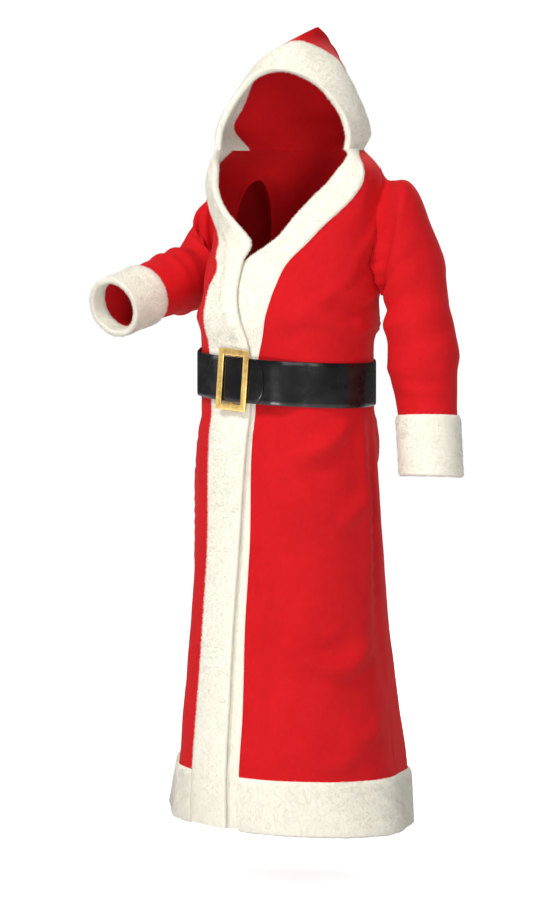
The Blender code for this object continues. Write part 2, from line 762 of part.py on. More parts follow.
def make_cuff(name, side, start, look):
    # Its stations are the sleeve's own rings, from the start to the sleeve's end.
    table = LEFT_SLEEVE if side > 0 else RIGHT_SLEEVE
    end = len(table) + 1
    around = np.linspace(0, 2 * math.pi, SLEEVE_SIDES + 1)
    stations = np.arange(start, end + 1, dtype=float)
    arounds, alongs = np.meshgrid(around, stations)
    points = sleeve_point(side, arounds, alongs).transpose(1, 0, 2)
    normals = sleeve_normal(side, arounds, alongs).transpose(1, 0, 2)
    points[-1] = points[0]
    normals[-1] = normals[0]
    last = len(stations) - 1
    outward = unit(points[:, last] - points[:, last - 1])
    near = CLOTH / 2 + TRIM_GAP
    thin = -near - PLUSH * 0.4
    profile = [(0, (near, 0.0), (near + PLUSH * 0.55, 0.0))]
    for place in range(1, last):
        profile.append((place, (near, 0.0), (near + PLUSH, 0.0)))
    profile += [
        (last, (near, SEAM), (near + PLUSH * 0.8, PLUSH * 0.6)),
        (last, (-near, SEAM), (thin, PLUSH * 0.6)),
        (last - 1, (-near, 0.0), (thin, 0.0)),
    ]
    return wrap(name, points, normals, outward, profile, look, closed=True)


def make_front(name, side, look):
    heights = panel_rows()
    points, normals = front_grid(side, heights)
    outer, inner = layers(points, normals, CLOTH)
    return shell(name, outer, inner, look)


def make_back(name, look):
    points, normals = back_grid(panel_rows())
    outer, inner = layers(points, normals, CLOTH)
    return shell(name, outer, inner, look)


def make_front_band(name, side, look):
    heights = panel_rows()
    points, normals = front_grid(side, heights)
    outward = off_edge(points, normals, True)
    near = CLOTH / 2 + TRIM_GAP
    thick = plush_depth(heights)
    zero = np.zeros(len(heights))
    inside = FACING_THIN + (FACING_THICK - FACING_THIN) * step(heights, -0.24, -0.12)
    last = TRIM_COLUMNS_COUNT
    profile = [(last, (zero + near, zero), (near + thick * 0.6, zero))]
    for place in range(last - 1, 0, -1):
        profile.append((place, (zero + near, zero), (near + thick, zero)))
    profile += [
        (0, (zero + near, zero + EDGE_PLAY), (near + thick * 0.85, thick * 0.5)),
        (0, (zero - near, zero + EDGE_PLAY), (-near - inside, thick * 0.5)),
    ]
    for place in range(1, last):
        profile.append((place, (zero - near, zero), (-near - inside, zero)))
    return wrap(name, points, normals, outward, profile, look)


def hood_alongs(sections):
    # Columns of the hood: to the end of the plush, and on to the back seam.
    trim = np.interp(
        sections, (0, 1, 2, 10, 11, 12), (NECK_TRIM_LEFT, 0.54, HOOD_TRIM, HOOD_TRIM, 0.46, NECK_TRIM_RIGHT)
    )
    band = np.linspace(0, 1, HOOD_TRIM_COLUMNS + 1)
    rest = np.linspace(0, 1, HOOD_BACK_COLUMNS + 1)[1:]
    end = 1.0 - 0.0025
    return np.concatenate(
        (trim[:, None] * band, trim[:, None] + (end - trim)[:, None] * rest), axis=1
    )


def hood_grid(sections):
    alongs = hood_alongs(sections)
    numbers = np.repeat(sections[:, None], alongs.shape[1], axis=1)
    away = np.sign(numbers[-1] - CROWN)
    numbers[-1] = numbers[-1] + away * PEAK_GAP * step(alongs[-1], 0.6, 0.97)
    points = hood_point(numbers, alongs)
    small = 0.01
    forward = hood_point(numbers, np.minimum(alongs + small, 1.0)) - hood_point(
        numbers, np.maximum(alongs - small, 0.0)
    )
    rise = hood_point(np.minimum(numbers + small, 12.0), alongs) - hood_point(
        np.maximum(numbers - small, 0.0), alongs
    )
    normals = unit(np.cross(forward, rise))
    return points, normals


def hood_half_grid(side):
    sections = np.linspace(HOOD_START, CROWN - CROWN_GAP, HOOD_ROWS + 1)
    if side < 0:
        sections = 2 * CROWN - sections
    points, normals = hood_grid(sections)
    other = hood_grid(2 * CROWN - sections)[1][:, -1]
    normals[:, -1] = unit(normals[:, -1] + other)
    flat = normals[0].copy()
    flat[:, 2] = 0.0
    normals[0] = unit(flat)
    points[0, :, 2] = NECKLINE + SEAM / 2
    return sections, points, normals


def make_hood_half(name, side, look):
    sections, points, normals = hood_half_grid(side)
    outer, inner = layers(points, normals, CLOTH)
    return shell(name, outer, inner, look, row_order=sections)


def make_hood_band(name, look):
    left_sections, left_points, left_normals = hood_half_grid(1)
    right_sections, right_points, right_normals = hood_half_grid(-1)
    sections = np.concatenate((left_sections, right_sections[::-1]))
    points = np.concatenate((left_points, right_points[::-1]))
    normals = np.concatenate((left_normals, right_normals[::-1]))
    outward = unit(points[:, 0] - points[:, 1])
    near = CLOTH / 2 + TRIM_GAP
    zero = np.zeros(len(sections))
    last = HOOD_TRIM_COLUMNS
    profile = [(last, (zero + near, zero), (zero + near + PLUSH * 0.6, zero))]
    for place in range(last - 1, 0, -1):
        profile.append((place, (zero + near, zero), (zero + near + PLUSH, zero)))
    profile += [
        (0, (zero + near, zero + SEAM), (zero + near + PLUSH * 0.8, zero + PLUSH * 0.6)),
        (0, (zero - near, zero + SEAM), (zero - near - PLUSH * 0.6, zero + PLUSH * 0.6)),
    ]
    for place in range(1, last):
        profile.append((place, (zero - near, zero), (zero - near - PLUSH * 0.6, zero)))
    return wrap(name, points, normals, outward, profile, look, row_order=sections)


def make_hem_band(name, points, normals, look, clear_start):
    # points and normals are the lowest rows of a panel, hem first. The start of a front's band
    # keeps clear of the plush down that front.
    points = points[: HEM_ROWS + 1].transpose(1, 0, 2).copy()
    normals = normals[: HEM_ROWS + 1].transpose(1, 0, 2)
    if clear_start:
        points[0] = points[0] + unit(points[1] - points[0]) * TRIM_GAP
    outward = unit(points[:, 0] - points[:, 1])
    near = CLOTH / 2 + TRIM_GAP
    profile = (
        (3, (near, 0.0), (near + PLUSH * 0.6, 0.0)),
        (2, (near, 0.0), (near + PLUSH, 0.0)),
        (1, (near, 0.0), (near + PLUSH, 0.0)),
        (0, (near, SEAM), (near + PLUSH * 0.8, PLUSH * 0.6)),
        (0, (-near, SEAM), (-near - PLUSH * 0.3, PLUSH * 0.6)),
    )
    return wrap(name, points, normals, outward, profile, look)


def belt_clearance(angle):
    # How far the belt stands off the middle of the cloth: more over the fronts' plush.
    return BELT_CLEARANCE_SIDE + (BELT_CLEARANCE_FRONT - BELT_CLEARANCE_SIDE) * (
        1 - step(np.abs(angle), 27.0, 50.0)
    )


def belt_point(angle, up, offset):
    # A point of the belt at a signed angle in degrees, so far up from its middle line.
    centre, half_width, half_depth = ring_values(np.full(np.shape(angle), BELT_HEIGHT))
    radians = np.radians(angle)
    out = unit(np.stack((np.sin(radians) / half_width, -np.cos(radians) / half_depth, 0 * radians), axis=-1))
    x = half_width * np.sin(radians)
    y = centre - half_depth * np.cos(radians)
    middle = np.stack((x, y, BELT_HEIGHT + BELT_SLOPE * x + up), axis=-1)
    return middle + out * np.asarray(offset)[..., None]


def make_belt(name, look):
    # From the tip on the wearer's left, through the buckle, round the back and under the tip.
    tip = np.array((BELT_TIP_ANGLE + 7.6, BELT_TIP_ANGLE + 6.6, BELT_TIP_ANGLE + 3.6, BELT_TIP_ANGLE))
    narrow = np.array((0.42, 0.72, 0.93, 1.0))
    rest = np.linspace(BELT_TIP_ANGLE, BELT_END_ANGLE, BELT_SIDES + 1)[1:]
    angles = np.concatenate((tip, rest))
    narrowing = np.concatenate((narrow, np.ones(len(rest))))
    over = 1 - step(-angles, 8.0, 24.0)
    signed = (angles + 180.0) % 360.0 - 180.0
    lift = belt_clearance(signed) + over * (BELT_THICKNESS + 2 * SEAM)
    rows = np.array((-0.5, 0.5))
    levels = rows[None, :] * BELT_WIDTH * narrowing[:, None]
    spread = np.repeat(signed[:, None], 2, axis=1)
    lifts = np.repeat(lift[:, None], 2, axis=1)
    inner = belt_point(spread, levels, lifts)
    outer = belt_point(spread, levels, lifts + BELT_THICKNESS)
    return shell(name, outer, inner, look)


def box(name, size, centre):
    build = bmesh.new()
    bmesh.ops.create_cube(build, size=1.0)
    bmesh.ops.scale(build, vec=size, verts=build.verts[:])
    bmesh.ops.translate(build, vec=centre, verts=build.verts[:])
    mesh = bpy.data.meshes.new(name)
    build.to_mesh(mesh)
    build.free()
    return bpy.data.objects.new(name, mesh)


def joined(target, other, operation):
    # Applies a Boolean of another object to the target.
    CUTTERS.objects.link(other)
    change = target.modifiers.new(operation.lower(), "BOOLEAN")
    change.operation = operation
    change.object = other
    bpy.context.view_layer.update()
    graph = bpy.context.evaluated_depsgraph_get()
    mesh = bpy.data.meshes.new_from_object(target.evaluated_get(graph))
    target.modifiers.clear()
    target.data = mesh
    bpy.data.objects.remove(other)


def make_buckle(name, look):
    # Built round its own centre, front face to -Y, then set on the belt.
    frame = box(name, (BUCKLE_WIDTH, BUCKLE_THICKNESS, BUCKLE_HEIGHT), (0, 0, 0))
    COLLECTION.objects.link(frame)
    hole = (BUCKLE_WIDTH - 2 * BUCKLE_BAR, 3 * BUCKLE_THICKNESS, BUCKLE_HEIGHT - 2 * BUCKLE_BAR)
    joined(frame, box("window", hole, (0, 0, 0)), "DIFFERENCE")
    front = float(belt_point(np.array(0.0), 0.0, BELT_CLEARANCE_FRONT + 2 * BELT_THICKNESS + 2 * SEAM)[1])
    frame_y = front + BUCKLE_SAG - BUCKLE_THICKNESS / 2
    bar_front = front + BELT_THICKNESS + BAR_PLAY - frame_y
    bar_back = bar_front + BELT_THICKNESS - 2 * SEAM
    bar_middle = (bar_front + bar_back) / 2
    joined(
        frame,
        box("bar", (BUCKLE_CENTRE_BAR, bar_back - bar_front, BUCKLE_HEIGHT - BUCKLE_BAR), (0, bar_middle, 0)),
        "UNION",
    )
    reach = BELT_WIDTH / 2 + STEM_PLAY
    tall = BUCKLE_HEIGHT / 2 - BUCKLE_BAR / 2 - reach
    for side in (-1, 1):
        block = box(
            "stem",
            (BUCKLE_CENTRE_BAR, bar_back, tall),
            (0, bar_back / 2, side * (reach + tall / 2)),
        )
        joined(frame, block, "UNION")
    centre, half_width, half_depth = ring_values(np.array(BELT_HEIGHT))
    aside = math.radians(BUCKLE_ANGLE)
    out = frame_y - float(centre) + float(half_depth)
    x = float(half_width) * math.sin(aside) - out * math.sin(aside)
    y = float(centre) - float(half_depth) * math.cos(aside) + out * math.cos(aside)
    frame.location = (x, y, BELT_HEIGHT + BELT_SLOPE * x)
    frame.rotation_euler = (0.0, -math.atan(BELT_SLOPE), aside)
    bevel = frame.modifiers.new("edges", "BEVEL")
    bevel.width = BUCKLE_BEVEL
    bevel.segments = 1
    bevel.limit_method = "ANGLE"
    frame.data.materials.clear()
    frame.data.materials.append(look)
    return frame


def clear_scene():
    for item in list(bpy.data.objects):
        bpy.data.objects.remove(item, do_unlink=True)


clear_scene()
COLLECTION = bpy.data.collections.new("santa_suit")
bpy.context.scene.collection.children.link(COLLECTION)
CUTTERS = bpy.data.collections.new("cutters")
CUTTERS.hide_render = True
bpy.context.scene.collection.children.link(CUTTERS)

VELOUR = material("red_velour", (0.62, 0.012, 0.018), 0.85, 0.0)
WHITE_PLUSH = material("white_plush", (0.90, 0.87, 0.78), 0.95, 0.0)
VINYL = material("black_vinyl", (0.012, 0.012, 0.014), 0.28, 0.0)
GOLD = material("gold_metal", (0.62, 0.42, 0.12), 0.30, 1.0)

make_back("back", VELOUR)
make_front("front_right", -1, VELOUR)
make_front("front_left", 1, VELOUR)
make_sleeve("sleeve_right", -1, VELOUR)
make_sleeve("sleeve_left", 1, VELOUR)
make_hood_half("hood_right", -1, VELOUR)
make_hood_half("hood_left", 1, VELOUR)
make_hood_band("hood_band", WHITE_PLUSH)
make_front_band("front_band_right", -1, WHITE_PLUSH)
make_front_band("front_band_left", 1, WHITE_PLUSH)
make_cuff("cuff_right", -1, RIGHT_CUFF_START, WHITE_PLUSH)
make_cuff("cuff_left", 1, LEFT_CUFF_START, WHITE_PLUSH)

BACK_POINTS, BACK_NORMALS = back_grid(panel_rows())
make_hem_band("hem_band_back", BACK_POINTS, BACK_NORMALS, WHITE_PLUSH, False)
for hem_name, hem_side in (("hem_band_right", -1), ("hem_band_left", 1)):
    front_points, front_normals = front_grid(hem_side, panel_rows())
    make_hem_band(
        hem_name,
        front_points[:, TRIM_COLUMNS_COUNT:],
        front_normals[:, TRIM_COLUMNS_COUNT:],
        WHITE_PLUSH,
        True,
    )

make_belt("belt", VINYL)
make_buckle("buckle", GOLD)
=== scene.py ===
# A hooded robe of red velour with white plush trim and a wide belt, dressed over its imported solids.
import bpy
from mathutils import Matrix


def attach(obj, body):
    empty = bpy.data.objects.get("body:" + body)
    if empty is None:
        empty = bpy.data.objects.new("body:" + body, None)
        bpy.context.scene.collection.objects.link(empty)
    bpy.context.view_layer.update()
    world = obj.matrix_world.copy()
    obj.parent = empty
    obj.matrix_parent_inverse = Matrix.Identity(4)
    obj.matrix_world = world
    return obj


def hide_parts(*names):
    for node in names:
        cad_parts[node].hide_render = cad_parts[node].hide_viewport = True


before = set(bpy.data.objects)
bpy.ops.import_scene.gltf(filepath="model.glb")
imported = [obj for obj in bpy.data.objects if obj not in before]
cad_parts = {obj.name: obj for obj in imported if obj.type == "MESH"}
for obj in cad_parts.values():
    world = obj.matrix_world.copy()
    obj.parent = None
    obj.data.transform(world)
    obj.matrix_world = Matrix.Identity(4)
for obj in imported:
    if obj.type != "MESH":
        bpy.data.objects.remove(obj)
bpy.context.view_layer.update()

import math

import bmesh
import bpy
import numpy as np
from mathutils import Matrix, Vector, noise

# Cloth and trim
clothThick = 0.002
plushThick = 0.008
plushUnderBelt = 0.004
seamWidth = 0.0004
trimGap = 0.0006
facingThin = 0.001
facingThick = 0.0045
edgePlay = 0.0004
lapPlay = 0.0068

# Heights
neckHeight = 0.02
shoulderHeight = -0.045
underarmHeight = -0.285
hemHeight = -1.435
hemBandHeight = 0.112
hemDropToLeft = 0.085

# Usual distance from the middle of the body to the cloth
bodyRadius = 0.2

# Side seams and armholes, in degrees round the body from the front centre
sideSeam = 112.0
armholeHalfAngle = 16.0
armholeMiddle = (shoulderHeight + underarmHeight) / 2
armholeHalf = (shoulderHeight - underarmHeight) / 2

# Front overlap
lapFullAngle = 24.0
lapEndAngle = 44.0
lapTop = -0.175
lapStart = -0.222

# Belt and buckle
beltHeight = -0.474
beltWidth = 0.096
beltThickness = 0.003
beltSlope = -0.08
beltTipAngle = 17.4
beltEndAngle = -352.0
beltClearanceFront = 0.0186
beltClearanceSide = 0.0028
buckleWidth = 0.08
buckleHeight = 0.132
buckleBar = 0.014
buckleThickness = 0.0048
buckleCentreBar = 0.006
buckleAngle = 5.6
buckleSag = 0.0006
barPlay = 0.0009

# Hood
headTurn = 42.0
shoulderSeamAtNeck = 0.72

# Rings of the robe round the body
bodyColumns = ("height", "centreY", "halfWidth", "halfDepth")
bodyRings = (
    (-1.475, -0.077, 0.266, 0.242),
    (-1.32, -0.068, 0.232, 0.252),
    (-1.188, -0.072, 0.222, 0.236),
    (-1.023, -0.073, 0.204, 0.222),
    (-0.836, -0.074, 0.202, 0.203),
    (-0.64, -0.079, 0.198, 0.188),
    (-0.56, -0.08, 0.196, 0.178),
    (-0.474, -0.08, 0.196, 0.177),
    (-0.39, -0.08, 0.196, 0.178),
    (-0.345, -0.077, 0.202, 0.184),
    (-0.29, -0.067, 0.206, 0.178),
    (-0.224, -0.055, 0.207, 0.158),
    (-0.14, -0.04, 0.206, 0.143),
    (-0.08, -0.03, 0.202, 0.13),
    (-0.045, -0.022, 0.197, 0.119),
    (-0.018, -0.014, 0.181, 0.106),
    (0.02, -0.005, 0.125, 0.088),
)

# Free edge of each front, in plan, from the neckline down to the crossing and on to the hem
edgeColumns = ("height", "x", "pull")
rightEdge = (
    (-1.475, 0.042, 0.0),
    (-0.836, 0.04, 0.0),
    (-0.54, 0.05, 0.0),
    (-0.442, 0.05, 0.0),
    (-0.394, 0.043, 0.0),
    (-0.34, 0.027, 0.0),
    (-0.3, 0.013, 0.0),
    (-0.25, 0.002, 0.0),
    (-0.224, 0.0, 0.002),
    (-0.18, 0.006, 0.012),
    (-0.15, -0.025, 0.026),
    (-0.12, -0.053, 0.047),
    (-0.08, -0.072, 0.07),
    (-0.04, -0.08, 0.091),
    (0.02, -0.0814, 0.138),
)
leftEdge = (
    (-1.475, -0.042, 0.0),
    (-0.836, -0.042, 0.0),
    (-0.4, -0.045, 0.0),
    (-0.28, -0.042, 0.0),
    (-0.25, -0.028, 0.0),
    (-0.224, 0.0, 0.0),
    (-0.2, 0.035, 0.0),
    (-0.18, 0.064, 0.003),
    (-0.125, 0.094, 0.0),
    (-0.088, 0.1, -0.01),
    (-0.055, 0.104, -0.018),
    (-0.01, 0.114, -0.004),
    (0.02, 0.132, 0.0),
)

# Line where the plush ends on each front, as an angle from the front centre
trimColumns = ("height", "angle")
rightTrim = (
    (-1.475, 12.0),
    (-1.3, 12.0),
    (-1.0, 11.5),
    (-0.836, 12.0),
    (-0.54, 16.0),
    (-0.44, 18.0),
    (-0.34, 21.0),
    (-0.279, 21.0),
    (-0.242, 18.5),
    (-0.2, 27.0),
    (-0.16, 34.0),
    (-0.12, 42.0),
    (-0.06, 50.0),
    (0.02, 58.0),
)
leftTrim = (
    (-1.475, 14.5),
    (-1.3, 16.5),
    (-0.836, 17.0),
    (-0.54, 17.5),
    (-0.44, 19.0),
    (-0.374, 23.0),
    (-0.33, 24.5),
    (-0.279, 26.0),
    (-0.224, 29.5),
    (-0.174, 42.0),
    (-0.14, 50.0),
    (-0.077, 68.0),
    (-0.04, 76.0),
    (0.02, 84.0),
)

# Hood sections, from the neckline up each side to the seam over the crown. Each has its
# front edge, its widest point and its place on the back seam, in the frame of the turned head:
# across to the wearer's left, back from the face, and up.
hoodColumns = ("turn", "edge", "side", "seam")
hoodLeft = (
    (25.0, (0.077, -0.112, 0.048), (0.121, -0.022, 0.055), (0.073, 0.094, 0.07)),
    (38.0, (0.068, -0.112, 0.085), (0.112, -0.028, 0.098), (0.08, 0.118, 0.12)),
    (42.0, (0.048, -0.11, 0.12), (0.093, -0.034, 0.142), (0.075, 0.115, 0.17)),
    (42.0, (0.02, -0.106, 0.153), (0.072, -0.038, 0.184), (0.062, 0.092, 0.22)),
    (42.0, (-0.015, -0.1, 0.177), (0.042, -0.04, 0.222), (0.04, 0.055, 0.262)),
)
hoodCrown = (42.0, (-0.055, -0.096, 0.191), (-0.028, -0.052, 0.254), (0.013, 0.0, 0.289))
hoodRight = (
    (25.0, (-0.2, -0.106, 0.062), (-0.19, -0.004, 0.062), (0.073, 0.094, 0.07)),
    (38.0, (-0.179, -0.108, 0.11), (-0.174, -0.012, 0.11), (0.08, 0.118, 0.12)),
    (42.0, (-0.153, -0.107, 0.148), (-0.148, -0.022, 0.16), (0.075, 0.115, 0.17)),
    (42.0, (-0.128, -0.104, 0.176), (-0.117, -0.034, 0.206), (0.062, 0.092, 0.22)),
    (42.0, (-0.095, -0.1, 0.19), (-0.082, -0.044, 0.234), (0.04, 0.055, 0.262)),
)
# The neckline in the body's own frame: front end, widest point and nape
neckLeft = (0.0, (0.132, -0.036, neckHeight), (0.128, 0.0, neckHeight), (0.0, 0.083, neckHeight))
neckRight = (0.0, (-0.0814, -0.216, neckHeight), (-0.128, -0.09, neckHeight), (0.0, 0.083, neckHeight))
hoodTrim = 0.5
neckTrimLeft = 0.6
neckTrimRight = 0.42

# Sleeve sections from the shoulder to the end: the point on the underside, the point on the
# outer side, and half the width across them
sleeveColumns = ("under", "outer", "halfWidth")
leftSleeve = (
    ((0.213, 0.024, -0.296), (0.24, 0.024, -0.03), 0.064),
    ((0.214, 0.026, -0.303), (0.276, 0.026, -0.07), 0.068),
    ((0.213, 0.028, -0.312), (0.302, 0.028, -0.137), 0.07),
    ((0.212, 0.03, -0.327), (0.322, 0.03, -0.208), 0.071),
    ((0.212, 0.03, -0.352), (0.34, 0.03, -0.285), 0.072),
    ((0.214, 0.03, -0.39), (0.357, 0.03, -0.35), 0.074),
    ((0.218, 0.03, -0.44), (0.367, 0.03, -0.415), 0.074),
    ((0.226, 0.03, -0.482), (0.369, 0.028, -0.468), 0.069),
    ((0.238, 0.028, -0.52), (0.372, 0.026, -0.51), 0.065),
    ((0.248, 0.025, -0.558), (0.376, 0.023, -0.551), 0.062),
    ((0.258, 0.02, -0.62), (0.384, 0.019, -0.616), 0.061),
    ((0.266, 0.016, -0.681), (0.391, 0.016, -0.679), 0.061),
)
rightSleeve = (
    ((-0.213, 0.022, -0.296), (-0.246, 0.018, -0.034), 0.065),
    ((-0.221, 0.015, -0.303), (-0.286, 0.004, -0.076), 0.07),
    ((-0.228, 0.002, -0.308), (-0.322, -0.014, -0.126), 0.073),
    ((-0.231, -0.022, -0.308), (-0.344, -0.038, -0.18), 0.074),
    ((-0.232, -0.062, -0.3), (-0.354, -0.072, -0.22), 0.073),
    ((-0.231, -0.108, -0.296), (-0.356, -0.114, -0.242), 0.07),
    ((-0.231, -0.146, -0.296), (-0.358, -0.15, -0.257), 0.067),
    ((-0.233, -0.176, -0.298), (-0.36, -0.183, -0.272), 0.064),
    ((-0.238, -0.212, -0.303), (-0.36, -0.223, -0.289), 0.062),
    ((-0.244, -0.27, -0.317), (-0.362, -0.282, -0.311), 0.06),
    ((-0.246, -0.304, -0.326), (-0.364, -0.316, -0.322), 0.06),
)
leftCuffStart = 11
rightCuffStart = 10
armholeSleeveLift = 0.009
roundShoulderRings = 3

# Soft folds: three points of the line (degrees from the front centre, wearer's left positive,
# and height), how far it stands out and its half-width
foldColumns = ("start", "middle", "end", "height", "halfWidth")
softFolds = (
    ((20.0, -0.56), (42.0, -0.735), (96.0, -0.75), 0.007, 0.034),
    ((84.0, -0.555), (66.0, -0.62), (42.0, -0.64), 0.006, 0.028),
    ((44.0, -1.05), (66.0, -1.125), (90.0, -1.04), 0.007, 0.032),
    ((60.0, -1.24), (74.0, -1.265), (92.0, -1.225), 0.005, 0.03),
    ((92.0, -0.35), (112.0, -0.385), (140.0, -0.37), 0.007, 0.026),
    ((-60.0, -0.6), (-90.0, -0.72), (-130.0, -0.7), 0.006, 0.034),
    ((-70.0, -1.04), (-98.0, -1.11), (-126.0, -1.05), 0.006, 0.034),
    ((-88.0, -0.35), (-110.0, -0.385), (-140.0, -0.365), 0.006, 0.026),
    ((200.0, -0.59), (180.0, -0.72), (160.0, -0.6), 0.006, 0.034),
)
# Long flutes of the skirt: degrees, where one starts, how far it stands out at the hem, half-angle
fluteColumns = ("angle", "top", "height", "halfAngle")
longFlutes = (
    (-66.0, -0.93, 0.014, 11.0),
    (52.0, -0.9, -0.006, 13.0),
    (98.0, -0.85, 0.01, 15.0),
    (138.0, -0.7, 0.016, 13.0),
    (176.0, -0.65, 0.018, 14.0),
    (-142.0, -0.7, 0.016, 13.0),
    (-108.0, -0.8, -0.008, 12.0),
)

# Grid of the pieces
skirtRows = 84
armholeRows = 34
shoulderRows = 14
hemRows = 10
trimColumnsCount = 9
frontColumns = 30
backColumns = 60
hoodRows = 40
hoodBackColumns = 24
hoodTrimColumns = 12


def smooth(at, known, values):
    # Cubic through the known values, with the slopes of their neighbours.
    known = np.asarray(known, float)
    values = np.asarray(values, float)
    at = np.clip(np.asarray(at, float), known[0], known[-1])
    slopes = np.gradient(values, known, axis=0)
    index = np.clip(np.searchsorted(known, at, side="right") - 1, 0, len(known) - 2)
    width = known[index + 1] - known[index]
    part = (at - known[index]) / width
    shape = part.shape + (1,) * (values.ndim - 1)
    part = part.reshape(shape)
    width = width.reshape(shape)
    return (
        (1 + 2 * part) * (1 - part) ** 2 * values[index]
        + part * (1 - part) ** 2 * width * slopes[index]
        + part**2 * (3 - 2 * part) * values[index + 1]
        + part**2 * (part - 1) * width * slopes[index + 1]
    )


def column(table, columns, name, at):
    place = columns.index(name)
    return smooth(at, [row[0] for row in table], [row[place] for row in table])


def step(at, start, end):
    # 0 at start, 1 at end, soft at both.
    part = np.clip((np.asarray(at, float) - start) / (end - start), 0.0, 1.0)
    return part * part * (3 - 2 * part)


def unit(vectors):
    return vectors / np.maximum(np.linalg.norm(vectors, axis=-1, keepdims=True), 1e-12)


def turned(point, degrees):
    # A point of the turned head's frame, in the body's frame.
    cosine, sine = math.cos(math.radians(degrees)), math.sin(math.radians(degrees))
    across, back, up = point
    return np.array((across * cosine - back * sine, across * sine + back * cosine, up))


def bezier(part, first, second, third, fourth):
    rest = 1 - part
    return rest**3 * first + 3 * rest**2 * part * second + 3 * rest * part**2 * third + part**3 * fourth


def sectionCurve(turn, edge, side, seam, along):
    # One hood section: front edge at 0, widest point at 0.5, back seam at 1.
    angle = math.radians(turn)
    backward = np.array((-math.sin(angle), math.cos(angle), 0.0))
    corner = side + backward * float(np.dot(seam - side, backward))
    corner[2] = side[2] * 0.5 + seam[2] * 0.5
    along = np.asarray(along, float)[..., None]
    nearSide = side - backward * 0.4 * np.linalg.norm(side - edge)
    nearSide[2] = side[2] * 0.6 + edge[2] * 0.4
    nearEdge = edge * 0.62 + nearSide * 0.38
    first = bezier(np.clip(along * 2, 0, 1), edge, nearEdge, nearSide, side)
    arc = 0.5523
    rounded = (side, side + arc * (corner - side), seam + arc * (corner - seam), seam)
    return np.where(along < 0.5, first, bezier(np.clip(along * 2 - 1, 0, 1), *rounded))


def splined(layers, place):
    # Points between layers of points, on a curve through the four nearest layers.
    last = len(layers) - 1
    lower = np.clip(np.floor(place).astype(int), 0, last - 1)
    part = (place - lower)[..., None]
    near = []
    for ahead in (-1, 0, 1, 2):
        index = np.clip(lower + ahead, 0, last)
        near.append(np.take_along_axis(layers, index[None, ..., None], axis=0)[0])
    before, start, end, after = near
    return 0.5 * (
        2 * start
        + (end - before) * part
        + (2 * before - 5 * start + 4 * end - after) * part**2
        + (3 * start - before - 3 * end + after) * part**3
    )


def hoodSections():
    # Sections from the left neckline over the crown to the right neckline.
    sections = []
    for row in (neckLeft,) + hoodLeft + (hoodCrown,) + tuple(reversed(hoodRight)) + (neckRight,):
        section = dict(zip(hoodColumns, row))
        turnHere = 0.0 if row in (neckLeft, neckRight) else headTurn
        points = [turned(section[key], turnHere) for key in ("edge", "side", "seam")]
        sections.append((section["turn"], *points))
    return sections


hoodRing = hoodSections()
crownNumber = 6.0
crownGap = 0.002
peakGap = 0.04
hoodStart = 0.008
hoodSeamPlace = 1.0 - 0.0004


def neckCurve(side, along):
    section = hoodRing[0] if side > 0 else hoodRing[-1]
    return sectionCurve(*section, along)


def hoodPoint(section, along):
    # The hood at a section number from 0 (left neckline) to 12 (right neckline).
    section, along = np.broadcast_arrays(np.asarray(section, float), np.asarray(along, float))
    return splined(np.stack([sectionCurve(*row, along) for row in hoodRing]), section)


def curvePoints(start, middle, end, count):
    # Points of a soft curve through three points.
    part = np.linspace(0.0, 1.0, count)[:, None]
    start, middle, end = np.array(start), np.array(middle), np.array(end)
    bend = 2 * middle - (start + end) / 2
    return (1 - part) ** 2 * start + 2 * part * (1 - part) * bend + part**2 * end


def turnsApart(angle, other):
    return (np.asarray(angle) - other + 180.0) % 360.0 - 180.0


def foldHeight(angle, height):
    # How far the cloth stands out at a signed angle in degrees and a height.
    total = np.zeros(np.broadcast(angle, height).shape)
    for row in softFolds:
        fold = dict(zip(foldColumns, row))
        line = curvePoints(fold["start"], fold["middle"], fold["end"], 13)
        nearest = np.full(total.shape, 9.0)
        for part, (lineAngle, lineHeight) in zip(np.linspace(0.0, 1.0, 13), line):
            away = np.radians(turnsApart(angle, lineAngle)) * bodyRadius
            nearest = np.minimum(nearest, np.hypot(away, height - lineHeight) + 0.02 * abs(part - 0.5))
        total = total + fold["height"] * np.exp(-((nearest / fold["halfWidth"]) ** 2))
    for row in longFlutes:
        flute = dict(zip(fluteColumns, row))
        away = turnsApart(angle, flute["angle"])
        growing = flute["height"] * step(height, flute["top"], hemHeight)
        total = total + growing * np.exp(-((away / flute["halfAngle"]) ** 2))
    return total * step(np.abs(np.asarray(height, float) - beltHeight), 0.075, 0.12)


def edgeTable(side):
    return leftEdge if side > 0 else rightEdge


def ringValues(height):
    # Centre, half width and half depth of the robe's ring at a height.
    return [column(bodyRings, bodyColumns, name, height) for name in bodyColumns[1:]]


def edgeAngle(side, height):
    # Angle of the free edge on the body's ring, in degrees towards this side.
    x = column(edgeTable(side), edgeColumns, "x", height) * side
    halfWidth = ringValues(height)[1]
    return np.degrees(np.arcsin(np.clip(x / halfWidth, -0.99, 0.985)))


def ringPoint(side, angle, height):
    centre, halfWidth, halfDepth = ringValues(height)
    radians = np.radians(angle)
    x = side * halfWidth * np.sin(radians)
    y = centre - halfDepth * np.cos(radians)
    return np.stack(np.broadcast_arrays(x, y, height), axis=-1)


def neckAlong(side, angle):
    trim = neckTrimLeft if side > 0 else neckTrimRight
    trimAngle = (leftTrim if side > 0 else rightTrim)[-1][1]
    first = float(edgeAngle(side, neckHeight))
    known = (first, trimAngle, sideSeam, 180.0)
    values = (0.0, trim, shoulderSeamAtNeck, 1.0)
    return np.interp(angle, known, values)


def plushDepth(height):
    # The plush is pressed flat under the belt.
    away = np.abs(np.asarray(height, float) - beltHeight)
    return plushUnderBelt + (plushThick - plushUnderBelt) * step(away, 0.072, 0.115)


